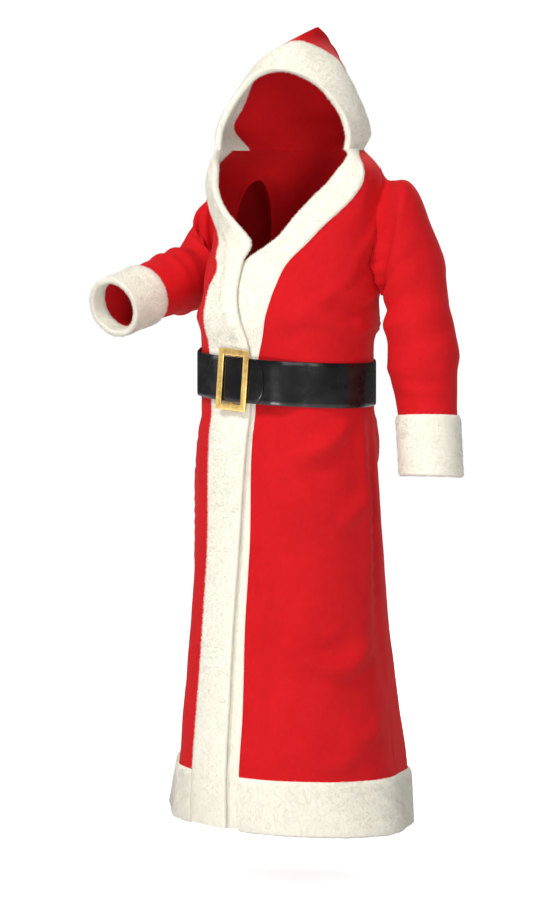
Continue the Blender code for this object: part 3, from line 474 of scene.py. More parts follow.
def level(vectors):
    # The same vectors with no rise.
    flat = vectors.copy()
    flat[..., 2] = 0.0
    return flat


def bodyPoint(side, angle, height):
    # Middle of the cloth. side is 1 for the wearer's left and -1 for the right, and the angle
    # runs from the front centre round that side to 180 at the centre back.
    angle, height = np.broadcast_arrays(np.asarray(angle, float), np.asarray(height, float))
    top = np.full(angle.shape, neckHeight)
    neck = level(neckCurve(side, neckAlong(side, angle)) - ringPoint(side, angle, top))
    share = np.clip((height + 0.16) / (neckHeight + 0.16), 0, 1)[..., None] ** 1.6
    first = edgeAngle(side, height)
    fall = np.clip((sideSeam - angle) / (sideSeam - first), 0, 1.3)[..., None] ** 2.2
    point = ringPoint(side, angle, height) + share * neck
    edgeBase = ringPoint(side, first, height)
    edgeNeck = level(neckCurve(side, np.zeros(angle.shape)) - ringPoint(side, edgeAngle(side, top), top))
    wanted = edgeBase.copy()
    wanted[..., 1] = wanted[..., 1] - column(edgeTable(side), edgeColumns, "pull", height)
    atNeck = step(height, -0.07, neckHeight)[..., None]
    point = point + fall * level((wanted - edgeBase - share * edgeNeck) * (1 - atNeck))
    radians = np.radians(angle)
    out = np.stack((side * np.sin(radians), -np.cos(radians), np.zeros(angle.shape)), axis=-1)
    chest = step(height, -0.17, -0.3)[..., None]
    point = point + out * (foldHeight(side * angle, height)[..., None] * chest)
    point = point + out * bodyCreases(side * angle, height)[..., None]
    if side < 0:
        lap = step(-angle, -lapEndAngle, -lapFullAngle) * step(height, lapTop, lapStart)
        point = point + out * (lap * (plushDepth(height) + lapPlay))[..., None]
    drop = hemDropToLeft * step(height, -0.5, hemHeight)
    point[..., 2] = point[..., 2] - drop * point[..., 0]
    return point


def bodyNormal(side, angle, height):
    small = 0.4
    rise = 0.003
    roundBody = bodyPoint(side, angle + small, height) - bodyPoint(side, angle - small, height)
    above = bodyPoint(side, angle, np.minimum(height + rise, neckHeight))
    return unit(np.cross(roundBody, above - bodyPoint(side, angle, height - rise))) * side


def panelRows():
    hemBand = np.linspace(hemHeight, hemHeight + hemBandHeight, hemRows + 1)
    skirt = np.linspace(hemHeight + hemBandHeight, underarmHeight, skirtRows + 1)[1:]
    turn = np.linspace(180.0, 0.0, armholeRows + 1)[1:]
    armhole = armholeMiddle + armholeHalf * np.cos(np.radians(turn))
    shoulder = np.linspace(shoulderHeight, neckHeight, shoulderRows + 1)[1:]
    return np.concatenate((hemBand, skirt, armhole, shoulder))


def uprightTop(normals, row=-1):
    # Level normals along the neckline, where the hood meets the body.
    normals[row] = unit(level(normals[row]))
    return normals


def armholeOpening(height):
    share = np.clip(1 - ((height - armholeMiddle) / armholeHalf) ** 2, 0, 1)
    return armholeHalfAngle * np.sqrt(share)


def spread(first, trim, last, band, rest):
    # Columns of a grid: so many from the free edge to the end of the plush, the rest on to the seam.
    band = np.linspace(0, 1, band + 1)
    rest = np.linspace(0, 1, rest + 1)[1:]
    first, trim, last = (np.asarray(value)[..., None] for value in (first, trim, last))
    return np.concatenate((first + (trim - first) * band, trim + (last - trim) * rest), axis=1)


def frontAngles(side, heights):
    trim = column(leftTrim if side > 0 else rightTrim, trimColumns, "angle", heights)
    last = sideSeam - armholeOpening(heights)
    return spread(edgeAngle(side, heights), trim, last, trimColumnsCount, frontColumns)


def frontGrid(side, heights):
    angles = frontAngles(side, heights)
    levels = np.repeat(heights[:, None], angles.shape[1], axis=1)
    return bodyPoint(side, angles, levels), uprightTop(bodyNormal(side, angles, levels))


def backGrid(heights):
    first = sideSeam + armholeOpening(heights)
    share = np.linspace(0, 1, backColumns // 2 + 1)
    half = first[:, None] + (180.0 - first)[:, None] * share
    levels = np.repeat(heights[:, None], half.shape[1], axis=1)
    joined = []
    for found in (bodyPoint, bodyNormal):
        left, right = found(1, half, levels), found(-1, half, levels)
        middle = (left[:, -1:] + right[:, -1:]) / 2
        joined.append(np.concatenate((left[:, :-1], middle, right[:, :-1][:, ::-1]), axis=1))
    return joined[0], uprightTop(unit(joined[1]))


def grownArmhole(side, around, grow, lift):
    # A point on the body round the armhole, grown by so much and lifted off the cloth.
    height = armholeMiddle + (armholeHalf + grow) * np.cos(around)
    angle = sideSeam - (armholeHalfAngle + math.degrees(grow / bodyRadius)) * np.sin(around)
    return bodyPoint(side, angle, height) + bodyNormal(side, angle, height) * np.asarray(lift)[..., None]


def sleeveTable(side):
    return leftSleeve if side > 0 else rightSleeve


def sleeveRings(side, around):
    # Rings from the armhole to the end. around is 0 on the outer side, pi/2 to the front.
    zero = np.zeros(around.shape)
    rings = [
        grownArmhole(side, around, 0.0026, zero + clothThick / 2 + trimGap),
        grownArmhole(side, around, 0.0075, zero + armholeSleeveLift),
    ]
    frontAndBack = grownArmhole(side, np.array((math.pi / 2, -math.pi / 2)), 0.0, np.zeros(2))
    armholeFront = unit(frontAndBack[0] - frontAndBack[1])
    stations = [dict(zip(sleeveColumns, row)) for row in sleeveTable(side)]
    centres = np.array([np.add(station["under"], station["outer"]) / 2 for station in stations])
    along = unit(np.gradient(centres, axis=0))
    for index, station in enumerate(stations):
        across = np.subtract(station["outer"], station["under"]) / 2
        front = unit(np.cross(along[index], across)) * side
        nearBody = max(0.0, 1 - index / roundShoulderRings)
        front = unit(front * (1 - nearBody) + armholeFront * nearBody)
        aside = np.sin(around)[..., None] * front * station["halfWidth"]
        rings.append(centres[index] + np.cos(around)[..., None] * across + aside)
    return np.stack(rings)


def sleevePoint(side, around, along):
    around, along = np.broadcast_arrays(np.asarray(around, float), np.asarray(along, float))
    return splined(sleeveRings(side, around), along)


def sleeveNormal(side, around, along):
    last = len(sleeveTable(side)) + 1
    roundArm = sleevePoint(side, around + 0.03, along) - sleevePoint(side, around - 0.03, along)
    above = sleevePoint(side, around, np.maximum(along - 0.04, 0))
    down = sleevePoint(side, around, np.minimum(along + 0.04, last)) - above
    normal = unit(np.cross(down, roundArm)) * -side
    base = np.zeros(np.shape(around)) + clothThick / 2 + seamWidth
    flat = unit(grownArmhole(side, around, 0.0066, base) - grownArmhole(side, around, 0.0006, base))
    share = np.clip(1 - np.asarray(along, float), 0, 1)[..., None]
    return unit(normal * (1 - share) + flat * share)


def offEdge(points, normals):
    # Directions that leave the free edge of the cloth square to it, level at the neckline.
    along = unit(np.gradient(points[:, 0], axis=0))
    leaving = points[:, 0] - points[:, 1]
    for direction in (along, normals[:, 0]):
        leaving = leaving - direction * np.sum(leaving * direction, axis=1, keepdims=True)
    leaving[-1, 2] = 0.0
    return unit(leaving)


def hoodAlongs(sections):
    # Columns of the hood: to the end of the plush, and on to the back seam.
    shares = (neckTrimLeft, 0.54, hoodTrim, hoodTrim, 0.46, neckTrimRight)
    trim = np.interp(sections, (0, 1, 2, 10, 11, 12), shares)
    last = np.full(trim.shape, hoodSeamPlace)
    return spread(np.zeros(trim.shape), trim, last, hoodTrimColumns, hoodBackColumns)


def hoodGrid(sections):
    alongs = hoodAlongs(sections)
    numbers = np.repeat(sections[:, None], alongs.shape[1], axis=1)
    away = np.sign(numbers[-1] - crownNumber)
    numbers[-1] = numbers[-1] + away * peakGap * step(alongs[-1], 0.6, 0.97)
    small = 0.01
    behind = hoodPoint(numbers, np.maximum(alongs - small, 0.0))
    forward = hoodPoint(numbers, np.minimum(alongs + small, 1.0)) - behind
    before = hoodPoint(np.maximum(numbers - small, 0.0), alongs)
    rise = hoodPoint(np.minimum(numbers + small, 12.0), alongs) - before
    return hoodPoint(numbers, alongs), unit(np.cross(forward, rise))


def hoodHalfGrid(side):
    sections = np.linspace(hoodStart, crownNumber - crownGap, hoodRows + 1)
    if side < 0:
        sections = 2 * crownNumber - sections
    points, normals = hoodGrid(sections)
    other = hoodGrid(2 * crownNumber - sections)[1][:, -1]
    normals[:, -1] = unit(normals[:, -1] + other)
    points[0, :, 2] = neckHeight - 0.0012
    return sections, points, uprightTop(normals, 0)


def beltClearance(angle):
    # How far the belt stands off the middle of the cloth: more over the fronts' plush.
    overPlush = 1 - step(np.abs(angle), 27.0, 50.0)
    return beltClearanceSide + (beltClearanceFront - beltClearanceSide) * overPlush


def beltPoint(angle, up, offset):
    # A point of the belt at a signed angle in degrees, so far up from its middle line.
    centre, halfWidth, halfDepth = ringValues(np.full(np.shape(angle), beltHeight))
    radians = np.radians(angle)
    out = unit(np.stack((np.sin(radians) / halfWidth, -np.cos(radians) / halfDepth, 0 * radians), axis=-1))
    x = halfWidth * np.sin(radians)
    y = centre - halfDepth * np.cos(radians)
    middle = np.stack((x, y, beltHeight + beltSlope * x + up), axis=-1)
    return middle + out * np.asarray(offset)[..., None]


creaseDepth = 2.4

# Creases: lines over the body by angle and height, + stands out and - sinks in
creaseLines = (
    # start, middle, end, rise, width
    ((28.0, -0.56), (44.0, -0.69), (74.0, -0.785), 0.005, 0.02),
    ((34.0, -0.6), (52.0, -0.74), (86.0, -0.8), -0.0035, 0.016),
    ((84.0, -0.56), (66.0, -0.61), (48.0, -0.632), 0.0042, 0.016),
    ((90.0, -0.59), (72.0, -0.65), (54.0, -0.672), -0.003, 0.014),
    ((70.0, -0.79), (84.0, -0.765), (98.0, -0.715), 0.0045, 0.018),
    ((50.0, -0.965), (60.0, -1.02), (74.0, -1.0), 0.0035, 0.016),
    ((44.0, -1.035), (68.0, -1.085), (96.0, -1.045), 0.005, 0.018),
    ((46.0, -1.065), (70.0, -1.12), (98.0, -1.08), -0.004, 0.016),
    ((50.0, -1.245), (62.0, -1.29), (78.0, -1.27), 0.0042, 0.017),
    ((76.0, -1.205), (86.0, -1.232), (98.0, -1.195), 0.004, 0.015),
    ((24.0, -0.88), (28.0, -0.93), (26.0, -0.985), 0.0036, 0.014),
    ((22.0, -1.15), (26.0, -1.19), (25.0, -1.245), 0.0034, 0.013),
    ((30.0, -0.99), (34.0, -1.09), (31.0, -1.2), -0.0026, 0.016),
    ((96.0, -0.56), (99.0, -0.76), (97.0, -0.98), 0.0045, 0.022),
    ((106.0, -0.6), (109.0, -0.82), (108.0, -1.1), -0.0045, 0.024),
    ((60.0, -0.345), (84.0, -0.372), (112.0, -0.35), 0.0036, 0.012),
    ((66.0, -0.318), (90.0, -0.33), (118.0, -0.3), -0.0034, 0.012),
    ((72.0, -0.29), (94.0, -0.3), (120.0, -0.262), 0.0038, 0.013),
    ((84.0, -0.25), (96.0, -0.225), (104.0, -0.18), -0.0036, 0.013),
    ((78.0, -0.215), (90.0, -0.17), (98.0, -0.12), 0.003, 0.014),
    ((46.0, -0.33), (60.0, -0.3), (80.0, -0.24), 0.0024, 0.016),
    ((38.0, -0.39), (52.0, -0.37), (70.0, -0.38), -0.0026, 0.012),
    ((-34.0, -0.56), (-40.0, -0.7), (-38.0, -0.86), 0.0036, 0.02),
    ((-48.0, -0.57), (-56.0, -0.72), (-52.0, -0.9), -0.0038, 0.02),
    ((-40.0, -0.36), (-60.0, -0.33), (-88.0, -0.3), 0.0036, 0.013),
    ((-44.0, -0.31), (-66.0, -0.275), (-92.0, -0.24), -0.0034, 0.013),
    ((-50.0, -0.26), (-68.0, -0.21), (-84.0, -0.15), 0.0034, 0.015),
    ((-62.0, -1.0), (-84.0, -1.06), (-110.0, -1.02), 0.0046, 0.018),
    ((-60.0, -1.22), (-80.0, -1.265), (-104.0, -1.23), -0.004, 0.017),
    ((-78.0, -0.57), (-96.0, -0.66), (-122.0, -0.69), 0.0045, 0.019),
    ((-92.0, -0.82), (-112.0, -0.9), (-138.0, -0.86), -0.004, 0.02),
    ((130.0, -0.56), (146.0, -0.65), (168.0, -0.69), 0.0048, 0.02),
    ((126.0, -0.345), (150.0, -0.378), (176.0, -0.36), 0.004, 0.013),
    ((124.0, -0.3), (146.0, -0.325), (170.0, -0.318), -0.0036, 0.013),
    ((140.0, -0.2), (150.0, -0.13), (160.0, -0.07), 0.0028, 0.018),
    ((-124.0, -0.34), (-148.0, -0.372), (-174.0, -0.352), 0.004, 0.013),
    ((-138.0, -0.205), (-150.0, -0.135), (-158.0, -0.075), 0.0028, 0.018),
    ((-128.0, -0.6), (-146.0, -0.76), (-150.0, -0.98), 0.0046, 0.022),
    ((150.0, -0.8), (158.0, -0.96), (156.0, -1.18), -0.0046, 0.022),
    ((146.0, -1.02), (158.0, -1.08), (174.0, -1.03), 0.0044, 0.019),
    ((-120.0, -1.16), (-142.0, -1.215), (-166.0, -1.17), 0.0044, 0.019),
)


def lineCreases(lines, across, up, acrossScale, wrapAt):
    # Total rise of crease lines at places given by two coordinates.
    total = np.zeros(np.broadcast(across, up).shape)
    for start, middle, end, rise, width in lines:
        nearest = np.full(total.shape, 9.0)
        fade = np.zeros(total.shape)
        for index, (lineAcross, lineUp) in enumerate(curvePoints(start, middle, end, 15)):
            away = (across - lineAcross + wrapAt / 2) % wrapAt - wrapAt / 2
            distance = np.hypot(away * acrossScale, up - lineUp)
            strength = math.sin(math.pi * (0.08 + 0.84 * index / 14)) ** 0.7
            closer = distance < nearest
            nearest = np.where(closer, distance, nearest)
            fade = np.where(closer, strength, fade)
        total = total + rise * fade * np.exp(-((nearest / width) ** 2))
    return total


def bodyCreases(angle, height):
    total = lineCreases(creaseLines, angle, height, 0.0035, 360.0) * creaseDepth
    under = step(np.abs(np.asarray(height, float) - beltHeight), 0.066, 0.1)
    return total * under


def softNoise(points, size, seed):
    # Smooth noise from -1 to 1 at each point, with lumps of about this size in metres.
    flat = points.reshape(-1, 3) / size + seed * 7.3
    values = [noise.noise(Vector(p)) for p in flat]
    return np.array(values).reshape(points.shape[:-1])


print("looks")


class Signal:
    # A shader socket that can stand in sums and products.
    def __init__(self, look, socket):
        self.look, self.socket = look, socket

    def worked(self, operation, other):
        return self.look.node("ShaderNodeMath", {"operation": operation}, {0: self, 1: other})

    def __add__(self, other):
        return self.worked("ADD", other)

    __radd__ = __add__

    def __mul__(self, other):
        return self.worked("MULTIPLY", other)

    __rmul__ = __mul__


class Look:
    # One material: its nodes come from node(), its shader's sockets from set().
    def __init__(self, name):
        self.material = bpy.data.materials.new(name)
        self.material.use_nodes = True
        self.tree = self.material.node_tree
        self.shader = self.tree.nodes["Principled BSDF"]
        self.place = self.node("ShaderNodeTexCoord", {}, {}, "Object")

    def fill(self, socket, value):
        if isinstance(value, Signal):
            self.tree.links.new(value.socket, socket)
        elif isinstance(value, tuple) and len(value) == 3 and socket.type == "RGBA":
            socket.default_value = (*value, 1.0)
        else:
            socket.default_value = value

    def node(self, kind, settings, values, output=0):
        made = self.tree.nodes.new(kind)
        for key, value in settings.items():
            if key == "stops":
                ramp = made.color_ramp
                while len(ramp.elements) < len(value):
                    ramp.elements.new(0.5)
                for element, (position, level) in zip(ramp.elements, value):
                    element.position = position
                    element.color = (level, level, level, 1.0)
            else:
                setattr(made, key, value)
        for key, value in values.items():
            self.fill(made.inputs[key], value)
        return Signal(self, made.outputs[output])

    def set(self, **values):
        for key, value in values.items():
            self.fill(self.shader.inputs[key.replace("_", " ")], value)

    def noise(self, scale, detail=2.0, roughness=0.5, place=None):
        values = {"Vector": place or self.place, "Scale": scale, "Detail": detail, "Roughness": roughness}
        return self.node("ShaderNodeTexNoise", {}, values)

    def ramp(self, signal, stops):
        return self.node("ShaderNodeValToRGB", {"stops": stops}, {0: signal})

    def mixed(self, share, first, second):
        return self.node("ShaderNodeMix", {"data_type": "RGBA"}, {0: share, 6: first, 7: second}, 2)

    def bump(self, height, strength, distance, under=None):
        values = {"Height": height, "Strength": strength, "Distance": distance}
        if under is not None:
            values["Normal"] = under
        return self.node("ShaderNodeBump", {}, values)


# Velour settings. The two reds are a shaded and a lit copy of the red, mixed in random crushed-nap patches:
# partly the nap's own uneven tone, partly painted shade and painted sheen.
velourFinishAndPaintedLight = {
    "shadedRed": (0.56, 0.005, 0.009),
    "lit": (0.68, 0.008, 0.013),
    "nap": 1500.0,
    "crush": 9.0,
    "roughness": 0.78,
}


def velourLook(name):
    look = Look(name)
    crush = look.noise(velourFinishAndPaintedLight["crush"], 4.0, 0.6)
    brushed = look.noise(85.0, 3.0, 0.6)
    nap = look.noise(velourFinishAndPaintedLight["nap"], 2.0, 0.7)
    # Random mottle between the shaded and the lit red: painted shade and painted sheen over the nap's own
    # uneven tone.
    share = look.ramp(crush * 0.55 + brushed * 0.25 + nap * 0.2, ((0.34, 0.0), (0.66, 1.0)))
    look.set(Base_Color=look.mixed(share, velourFinishAndPaintedLight["shadedRed"], velourFinishAndPaintedLight["lit"]))
    look.set(Roughness=velourFinishAndPaintedLight["roughness"] + nap * 0.16)
    soft = look.bump(brushed, 0.16, 0.004)
    look.set(Normal=look.bump(nap, 0.3, 0.0009, soft))
    look.set(Sheen_Weight=0.16, Sheen_Roughness=0.4, Sheen_Tint=(1.0, 0.16, 0.14))
    look.set(Specular_IOR_Level=0.14)
    return look.material


plushFinish = {
    "root": (0.885, 0.85, 0.745),
    "tip": (0.935, 0.905, 0.8),
    "tuft": 190.0,
    "lump": 42.0,
}


def plushLook(name):
    look = Look(name)
    tuft = look.noise(plushFinish["tuft"], 3.0, 0.65)
    lump = look.noise(plushFinish["lump"], 2.0, 0.5)
    hair = look.noise(900.0, 1.0, 0.5)
    share = look.ramp(tuft * 0.5 + lump * 0.3 + hair * 0.2, ((0.36, 0.0), (0.58, 1.0)))
    look.set(Base_Color=look.mixed(share, plushFinish["root"], plushFinish["tip"]))
    look.set(Roughness=0.86 + hair * 0.12)
    wide = look.bump(lump, 0.12, 0.005)
    look.set(Normal=look.bump(tuft + hair * 0.5, 0.18, 0.0018, wide))
    look.set(Sheen_Weight=0.35, Sheen_Roughness=0.5, Sheen_Tint=(1.0, 0.98, 0.93))
    look.set(Specular_IOR_Level=0.2)
    return look.material


fuzzFinish = {"root": (0.89, 0.86, 0.76), "tip": (0.95, 0.925, 0.83)}


def fuzzLook(name):
    look = Look(name)
    share = look.ramp(look.noise(70.0, 3.0, 0.6), ((0.38, 0.0), (0.6, 1.0)))
    look.set(Base_Color=look.mixed(share, fuzzFinish["root"], fuzzFinish["tip"]))
    look.set(Roughness=0.9, Specular_IOR_Level=0.15)
    look.set(Sheen_Weight=0.25, Sheen_Roughness=0.5)
    return look.material


vinylFinish = {"black": (0.006, 0.006, 0.007), "worn": (0.016, 0.015, 0.015), "roughness": 0.2}


def vinylLook(name):
    look = Look(name)
    cloud = look.noise(18.0, 3.0, 0.55)
    grain = look.node("ShaderNodeTexVoronoi", {}, {"Vector": look.place, "Scale": 950.0})
    share = look.ramp(cloud, ((0.45, 0.0), (0.75, 1.0)))
    look.set(Base_Color=look.mixed(share, vinylFinish["black"], vinylFinish["worn"]))
    look.set(Roughness=vinylFinish["roughness"] + cloud * 0.14)
    wave = look.bump(look.noise(26.0, 1.0), 0.25, 0.004)
    look.set(Normal=look.bump(grain, 0.05, 0.0004, wave))
    look.set(Coat_Weight=0.2, Coat_Roughness=0.12, Specular_IOR_Level=0.3)
    return look.material


goldFinish = {"bright": (0.96, 0.68, 0.24), "dull": (0.74, 0.48, 0.15), "roughness": 0.36}


def goldLook(name):
    look = Look(name)
    cloud = look.noise(90.0, 3.0, 0.6)
    drawn = {"Vector": look.place, "Scale": (300.0, 300.0, 2200.0)}
    stretched = look.node("ShaderNodeMapping", {}, drawn)
    brush = look.noise(1.0, 2.0, 0.5, stretched)
    share = look.ramp(cloud, ((0.35, 0.0), (0.62, 1.0)))
    look.set(Base_Color=look.mixed(share, goldFinish["dull"], goldFinish["bright"]))
    look.set(Roughness=goldFinish["roughness"] + brush * 0.14)
    look.set(Normal=look.bump(brush, 0.1, 0.0003))
    look.set(Metallic=1.0)
    return look.material


velour = velourLook("redVelour")
plush = plushLook("whitePlush")
plushHairs = fuzzLook("plushHairs")
vinyl = vinylLook("blackVinyl")
gold = goldLook("goldPlate")


print("cloth")


def placed(name, mesh, look):
    mesh.materials.append(look)
    piece = bpy.data.objects.new(name, mesh)
    bpy.context.scene.collection.objects.link(piece)
    return piece


def finished(name, build, look, angle=60.0):
    bmesh.ops.recalc_face_normals(build, faces=build.faces[:])
    if build.calc_volume(signed=True) < 0:
        bmesh.ops.reverse_faces(build, faces=build.faces[:])
    mesh = bpy.data.meshes.new(name)
    build.to_mesh(mesh)
    build.free()
    mesh.shade_smooth()
    mesh.set_sharp_from_angle(angle=math.radians(angle))
    return placed(name, mesh, look)


def wall(name, outer, inner, look, closed=False):
    # A closed wall between two layers of points. A closed one is a tube round its columns.
    rows, columns = outer.shape[:2]
    build = bmesh.new()
    bmesh.ops.create_grid(build, x_segments=columns - 1, y_segments=rows - 1, size=1.0)
    raised = bmesh.ops.extrude_face_region(build, geom=build.faces[:])
    for item in raised["geom"]:
        if isinstance(item, bmesh.types.BMVert):
            item.co.z = 1.0

    def place(vertex):
        across = round((vertex.co.x + 1) / 2 * (columns - 1))
        along = round((vertex.co.y + 1) / 2 * (rows - 1))
        return along, across, vertex.co.z > 0.5

    places = [place(vertex) for vertex in build.verts]
    build.verts.index_update()
    if closed:
        ends = []
        for face in build.faces:
            columnsHere = {places[vertex.index][1] for vertex in face.verts}
            if columnsHere == {0} or columnsHere == {columns - 1}:
                ends.append(face)
        bmesh.ops.delete(build, geom=ends, context="FACES_ONLY")
    for vertex, (along, across, upper) in zip(build.verts, places):
        vertex.co = (outer if upper else inner)[along, across]
    if closed:
        bmesh.ops.remove_doubles(build, verts=build.verts[:], dist=0.00002)
    return finished(name, build, look)


def dress(piece, node):
    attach(piece, "root")
    if node:
        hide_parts(node)
    return piece


def cutSheet(piece, points, rests):
    # Measures the size and area of a sheet of cloth's cut, read off its middle layer, and prints them.
    down = np.linalg.norm(np.diff(points, axis=0), axis=-1)
    across = np.linalg.norm(np.diff(points, axis=1), axis=-1)
    length, width = float(down.sum(0).max()), float(across.sum(1).max())
    facing = np.cross(points[1:, :-1] - points[:-1, :-1], points[:-1, 1:] - points[:-1, :-1])
    facing = np.linalg.norm(facing, axis=-1)
    other = np.cross(points[:-1, 1:] - points[1:, 1:], points[1:, :-1] - points[1:, 1:])
    area = float((facing + np.linalg.norm(other, axis=-1)).sum() / 2)
    area = min(area, width * length)
    print(f"  {piece.name}: cut {width:.3f} x {length:.3f} m, {area:.3f} m2")


def seamDip(count, first, last, depth=0.0009):
    # How far the cloth dips into the seams at its first and last columns.
    dip = np.zeros(count)
    for index, share in enumerate((1.0, 0.45)):
        if first:
            dip[index] = depth * share
        if last:
            dip[count - 1 - index] = depth * share
    return dip


# Soft unevenness of the cloth: later seed, size of its lumps and how far they rise
clothRipples = ((0, 0.075, 0.0011), (2, 0.026, 0.0005))


def velourWall(name, points, normals, closed=False, dip=0.0, rippleSeed=1.0, steady=1.0):
    lift = np.zeros(points.shape[:-1])
    for later, size, rise in clothRipples:
        lift = lift + softNoise(points, size, rippleSeed + later) * rise
    lift = lift * steady
    if closed:
        lift[:, -1] = lift[:, 0]
    shifted = points + normals * (lift - dip)[..., None]
    return wall(name, shifted + normals * clothThick / 2, shifted - normals * clothThick / 2, velour, closed)


sides = ((-1, "Right"), (1, "Left"))
bodySteps = panelRows()
beltCalm = step(np.abs(bodySteps - beltHeight), 0.055, 0.085)[:, None]

frontPoints = {}
for side, word in sides:
    points, normals = frontGrid(side, bodySteps)
    frontPoints[side] = (points, normals)
    dip = seamDip(points.shape[1], False, True)[None, :]
    piece = velourWall("front" + word, points, normals, dip=dip, rippleSeed=3.0 + side, steady=beltCalm)
    dress(piece, "front_" + word.lower())
    cutSheet(piece, points, ["back"])
backPoints, backNormals = backGrid(bodySteps)
dip = seamDip(backPoints.shape[1], True, True)[None, :]
piece = velourWall("backPanel", backPoints, backNormals, dip=dip, rippleSeed=9.0, steady=beltCalm)
dress(piece, "back")
cutSheet(piece, backPoints, ["front_left", "front_right"])


print("sleeves")

# Creases of the sleeves: turns round the arm in radians (0 outside, pi/2 front) and ring number
leftSleeveCreases = (
    ((0.2, 1.6), (0.9, 2.6), (1.9, 3.2), 0.004, 0.35),
    ((2.9, 2.2), (2.2, 3.2), (1.2, 4.2), 0.0045, 0.34),
    ((2.6, 4.2), (1.6, 5.0), (0.4, 5.2), 0.0048, 0.3),
    ((2.8, 5.2), (1.8, 5.8), (0.7, 6.0), -0.004, 0.26),
    ((2.7, 6.1), (1.6, 6.7), (0.3, 6.6), 0.005, 0.3),
    ((2.4, 7.2), (1.4, 7.6), (0.2, 7.4), -0.0036, 0.26),
    ((2.6, 8.2), (1.7, 8.6), (0.6, 8.9), 0.0038, 0.28),
    ((1.9, 9.2), (1.2, 9.7), (0.2, 9.9), 0.0034, 0.26),
    ((-0.4, 4.4), (-1.4, 5.2), (-2.6, 5.0), 0.0044, 0.3),
    ((-0.5, 6.2), (-1.6, 6.9), (-2.8, 6.5), -0.004, 0.28),
    ((-0.3, 7.6), (-1.4, 8.4), (-2.5, 8.3), 0.004, 0.3),
    ((-0.6, 2.4), (-1.5, 3.2), (-2.4, 3.4), 0.0036, 0.34),
)
rightSleeveCreases = (
    ((0.4, 1.8), (1.3, 2.6), (2.4, 3.0), 0.005, 0.32),
    ((0.3, 2.8), (1.2, 3.4), (2.4, 3.6), -0.0046, 0.26),
    ((0.5, 3.4), (1.4, 4.0), (2.5, 4.3), 0.0056, 0.28),
    ((0.4, 4.2), (1.3, 4.7), (2.4, 4.9), -0.005, 0.24),
    ((0.5, 4.9), (1.5, 5.4), (2.6, 5.5), 0.0054, 0.26),
    ((0.3, 5.8), (1.2, 6.2), (2.2, 6.3), -0.004, 0.24),
    ((0.6, 6.7), (1.5, 7.1), (2.5, 7.2), 0.0044, 0.25),
    ((0.4, 7.8), (1.3, 8.1), (2.3, 8.0), 0.0034, 0.24),
    ((-0.5, 3.4), (-1.4, 4.2), (-2.5, 4.4), 0.0044, 0.34),
    ((-0.6, 5.0), (-1.6, 5.6), (-2.6, 5.6), -0.004, 0.3),
    ((-0.5, 6.6), (-1.5, 7.2), (-2.5, 7.1), 0.004, 0.3),
)

sleeveSteps = {"around": 72, "perRing": 6}
# The sleeve's cap where it meets the shoulder: how far it reaches in, up and down
capSetting = {"reach": 1.3, "in": 0.01, "up": 0.026, "down": {-1: 0.0, 1: 0.022}}
sleeveSheets = {}
for side, word, lines in ((-1, "Right", rightSleeveCreases), (1, "Left", leftSleeveCreases)):
    table = sleeveTable(side)
    around = np.linspace(0, 2 * math.pi, sleeveSteps["around"] + 1)
    along = np.linspace(0.0, len(table) + 1, (len(table) + 1) * sleeveSteps["perRing"] + 1)
    arounds, alongs = np.meshgrid(around, along)
    points = sleevePoint(side, arounds, alongs)
    normals = sleeveNormal(side, arounds, alongs)
    signed = (arounds + math.pi) % (2 * math.pi) - math.pi
    rise = lineCreases(lines, signed, alongs, 0.55, 2 * math.pi) * 1.5
    rise = rise * step(alongs, 0.9, 2.0) * (1 - step(alongs, len(table) - 1.6, len(table) - 0.9))
    gather = 0.0016 * np.cos(arounds * 17 + 0.6 * np.sin(arounds * 3))
    gather = gather * step(alongs, 0.2, 0.7) * (1 - step(alongs, 1.0, 2.2))
    points = points + normals * (rise + gather)[..., None]
    crown = np.clip((np.cos(arounds) + 0.25) / 1.25, 0.0, 1.0)
    start = 1 - step(alongs, 0.0, capSetting["reach"])
    points[..., 0] = points[..., 0] - side * capSetting["in"] * crown * start
    points[..., 2] = points[..., 2] + capSetting["up"] * crown * start
    lowered = np.exp(-(((alongs - 1.7) / 0.9) ** 2)) * (1 - start)
    points[..., 2] = points[..., 2] - capSetting["down"][side] * crown * lowered
    points[:, -1] = points[:, 0]
    normals[:, -1] = normals[:, 0]
    sleeveSheets[side] = (points, normals)
    calm = (step(alongs, 0.4, 1.2) * (1 - step(alongs, len(table) - 1.4, len(table) - 0.8)))
    piece = velourWall("sleeve" + word, points, normals, closed=True, rippleSeed=20.0 + side, steady=calm)
    dress(piece, "sleeve_" + word.lower())
    cutSheet(piece, points, ["front_" + word.lower(), "back"])


print("hood")

hoodSheets = {}
for side, word in sides:
    sections, points, normals = hoodHalfGrid(side)
    columnsHere = np.arange(points.shape[1])
    behind = step(columnsHere, hoodTrimColumns - 1, hoodTrimColumns + 5)[None, :]
    numbers = np.repeat(sections[:, None], points.shape[1], axis=1)
    slump = 0.003 * np.sin(numbers * 2.9 + columnsHere[None, :] * 0.11) * behind
    fromCrown = np.abs(numbers - crownNumber)
    slump = slump * step(fromCrown, 0.1, 1.2) * step(crownNumber - fromCrown, 0.3, 1.6)
    points = points + normals * slump[..., None]
    hoodSheets[side] = (points, normals)
    dip = np.zeros(points.shape)[..., 0]
    dip[:, -1] = 0.001
    dip[:, -2] = 0.0004
    piece = velourWall("hood" + word, points, normals, dip=dip, rippleSeed=30.0 + side, steady=behind)
    dress(piece, "hood_" + word.lower())
    cutSheet(piece, points, ["back", "front_" + word.lower()])


print("plush")


def atColumn(sheet, place):
    # The sheet's points at a column number that may lie between two columns.
    lower = min(int(math.floor(place)), sheet.shape[1] - 2)
    part = place - lower
    return sheet[:, lower] * (1 - part) + sheet[:, lower + 1] * part


plushSetting = {"core": 0.62, "full": 0.006, "lumps": ((4.0, 0.03, 0.0009), (8.0, 0.011, 0.00025))}
hairSetting = {"width": 0.00056, "lean": 0.75, "root": 0.0006, "aside": (0.31, 0.52, 0.79)}


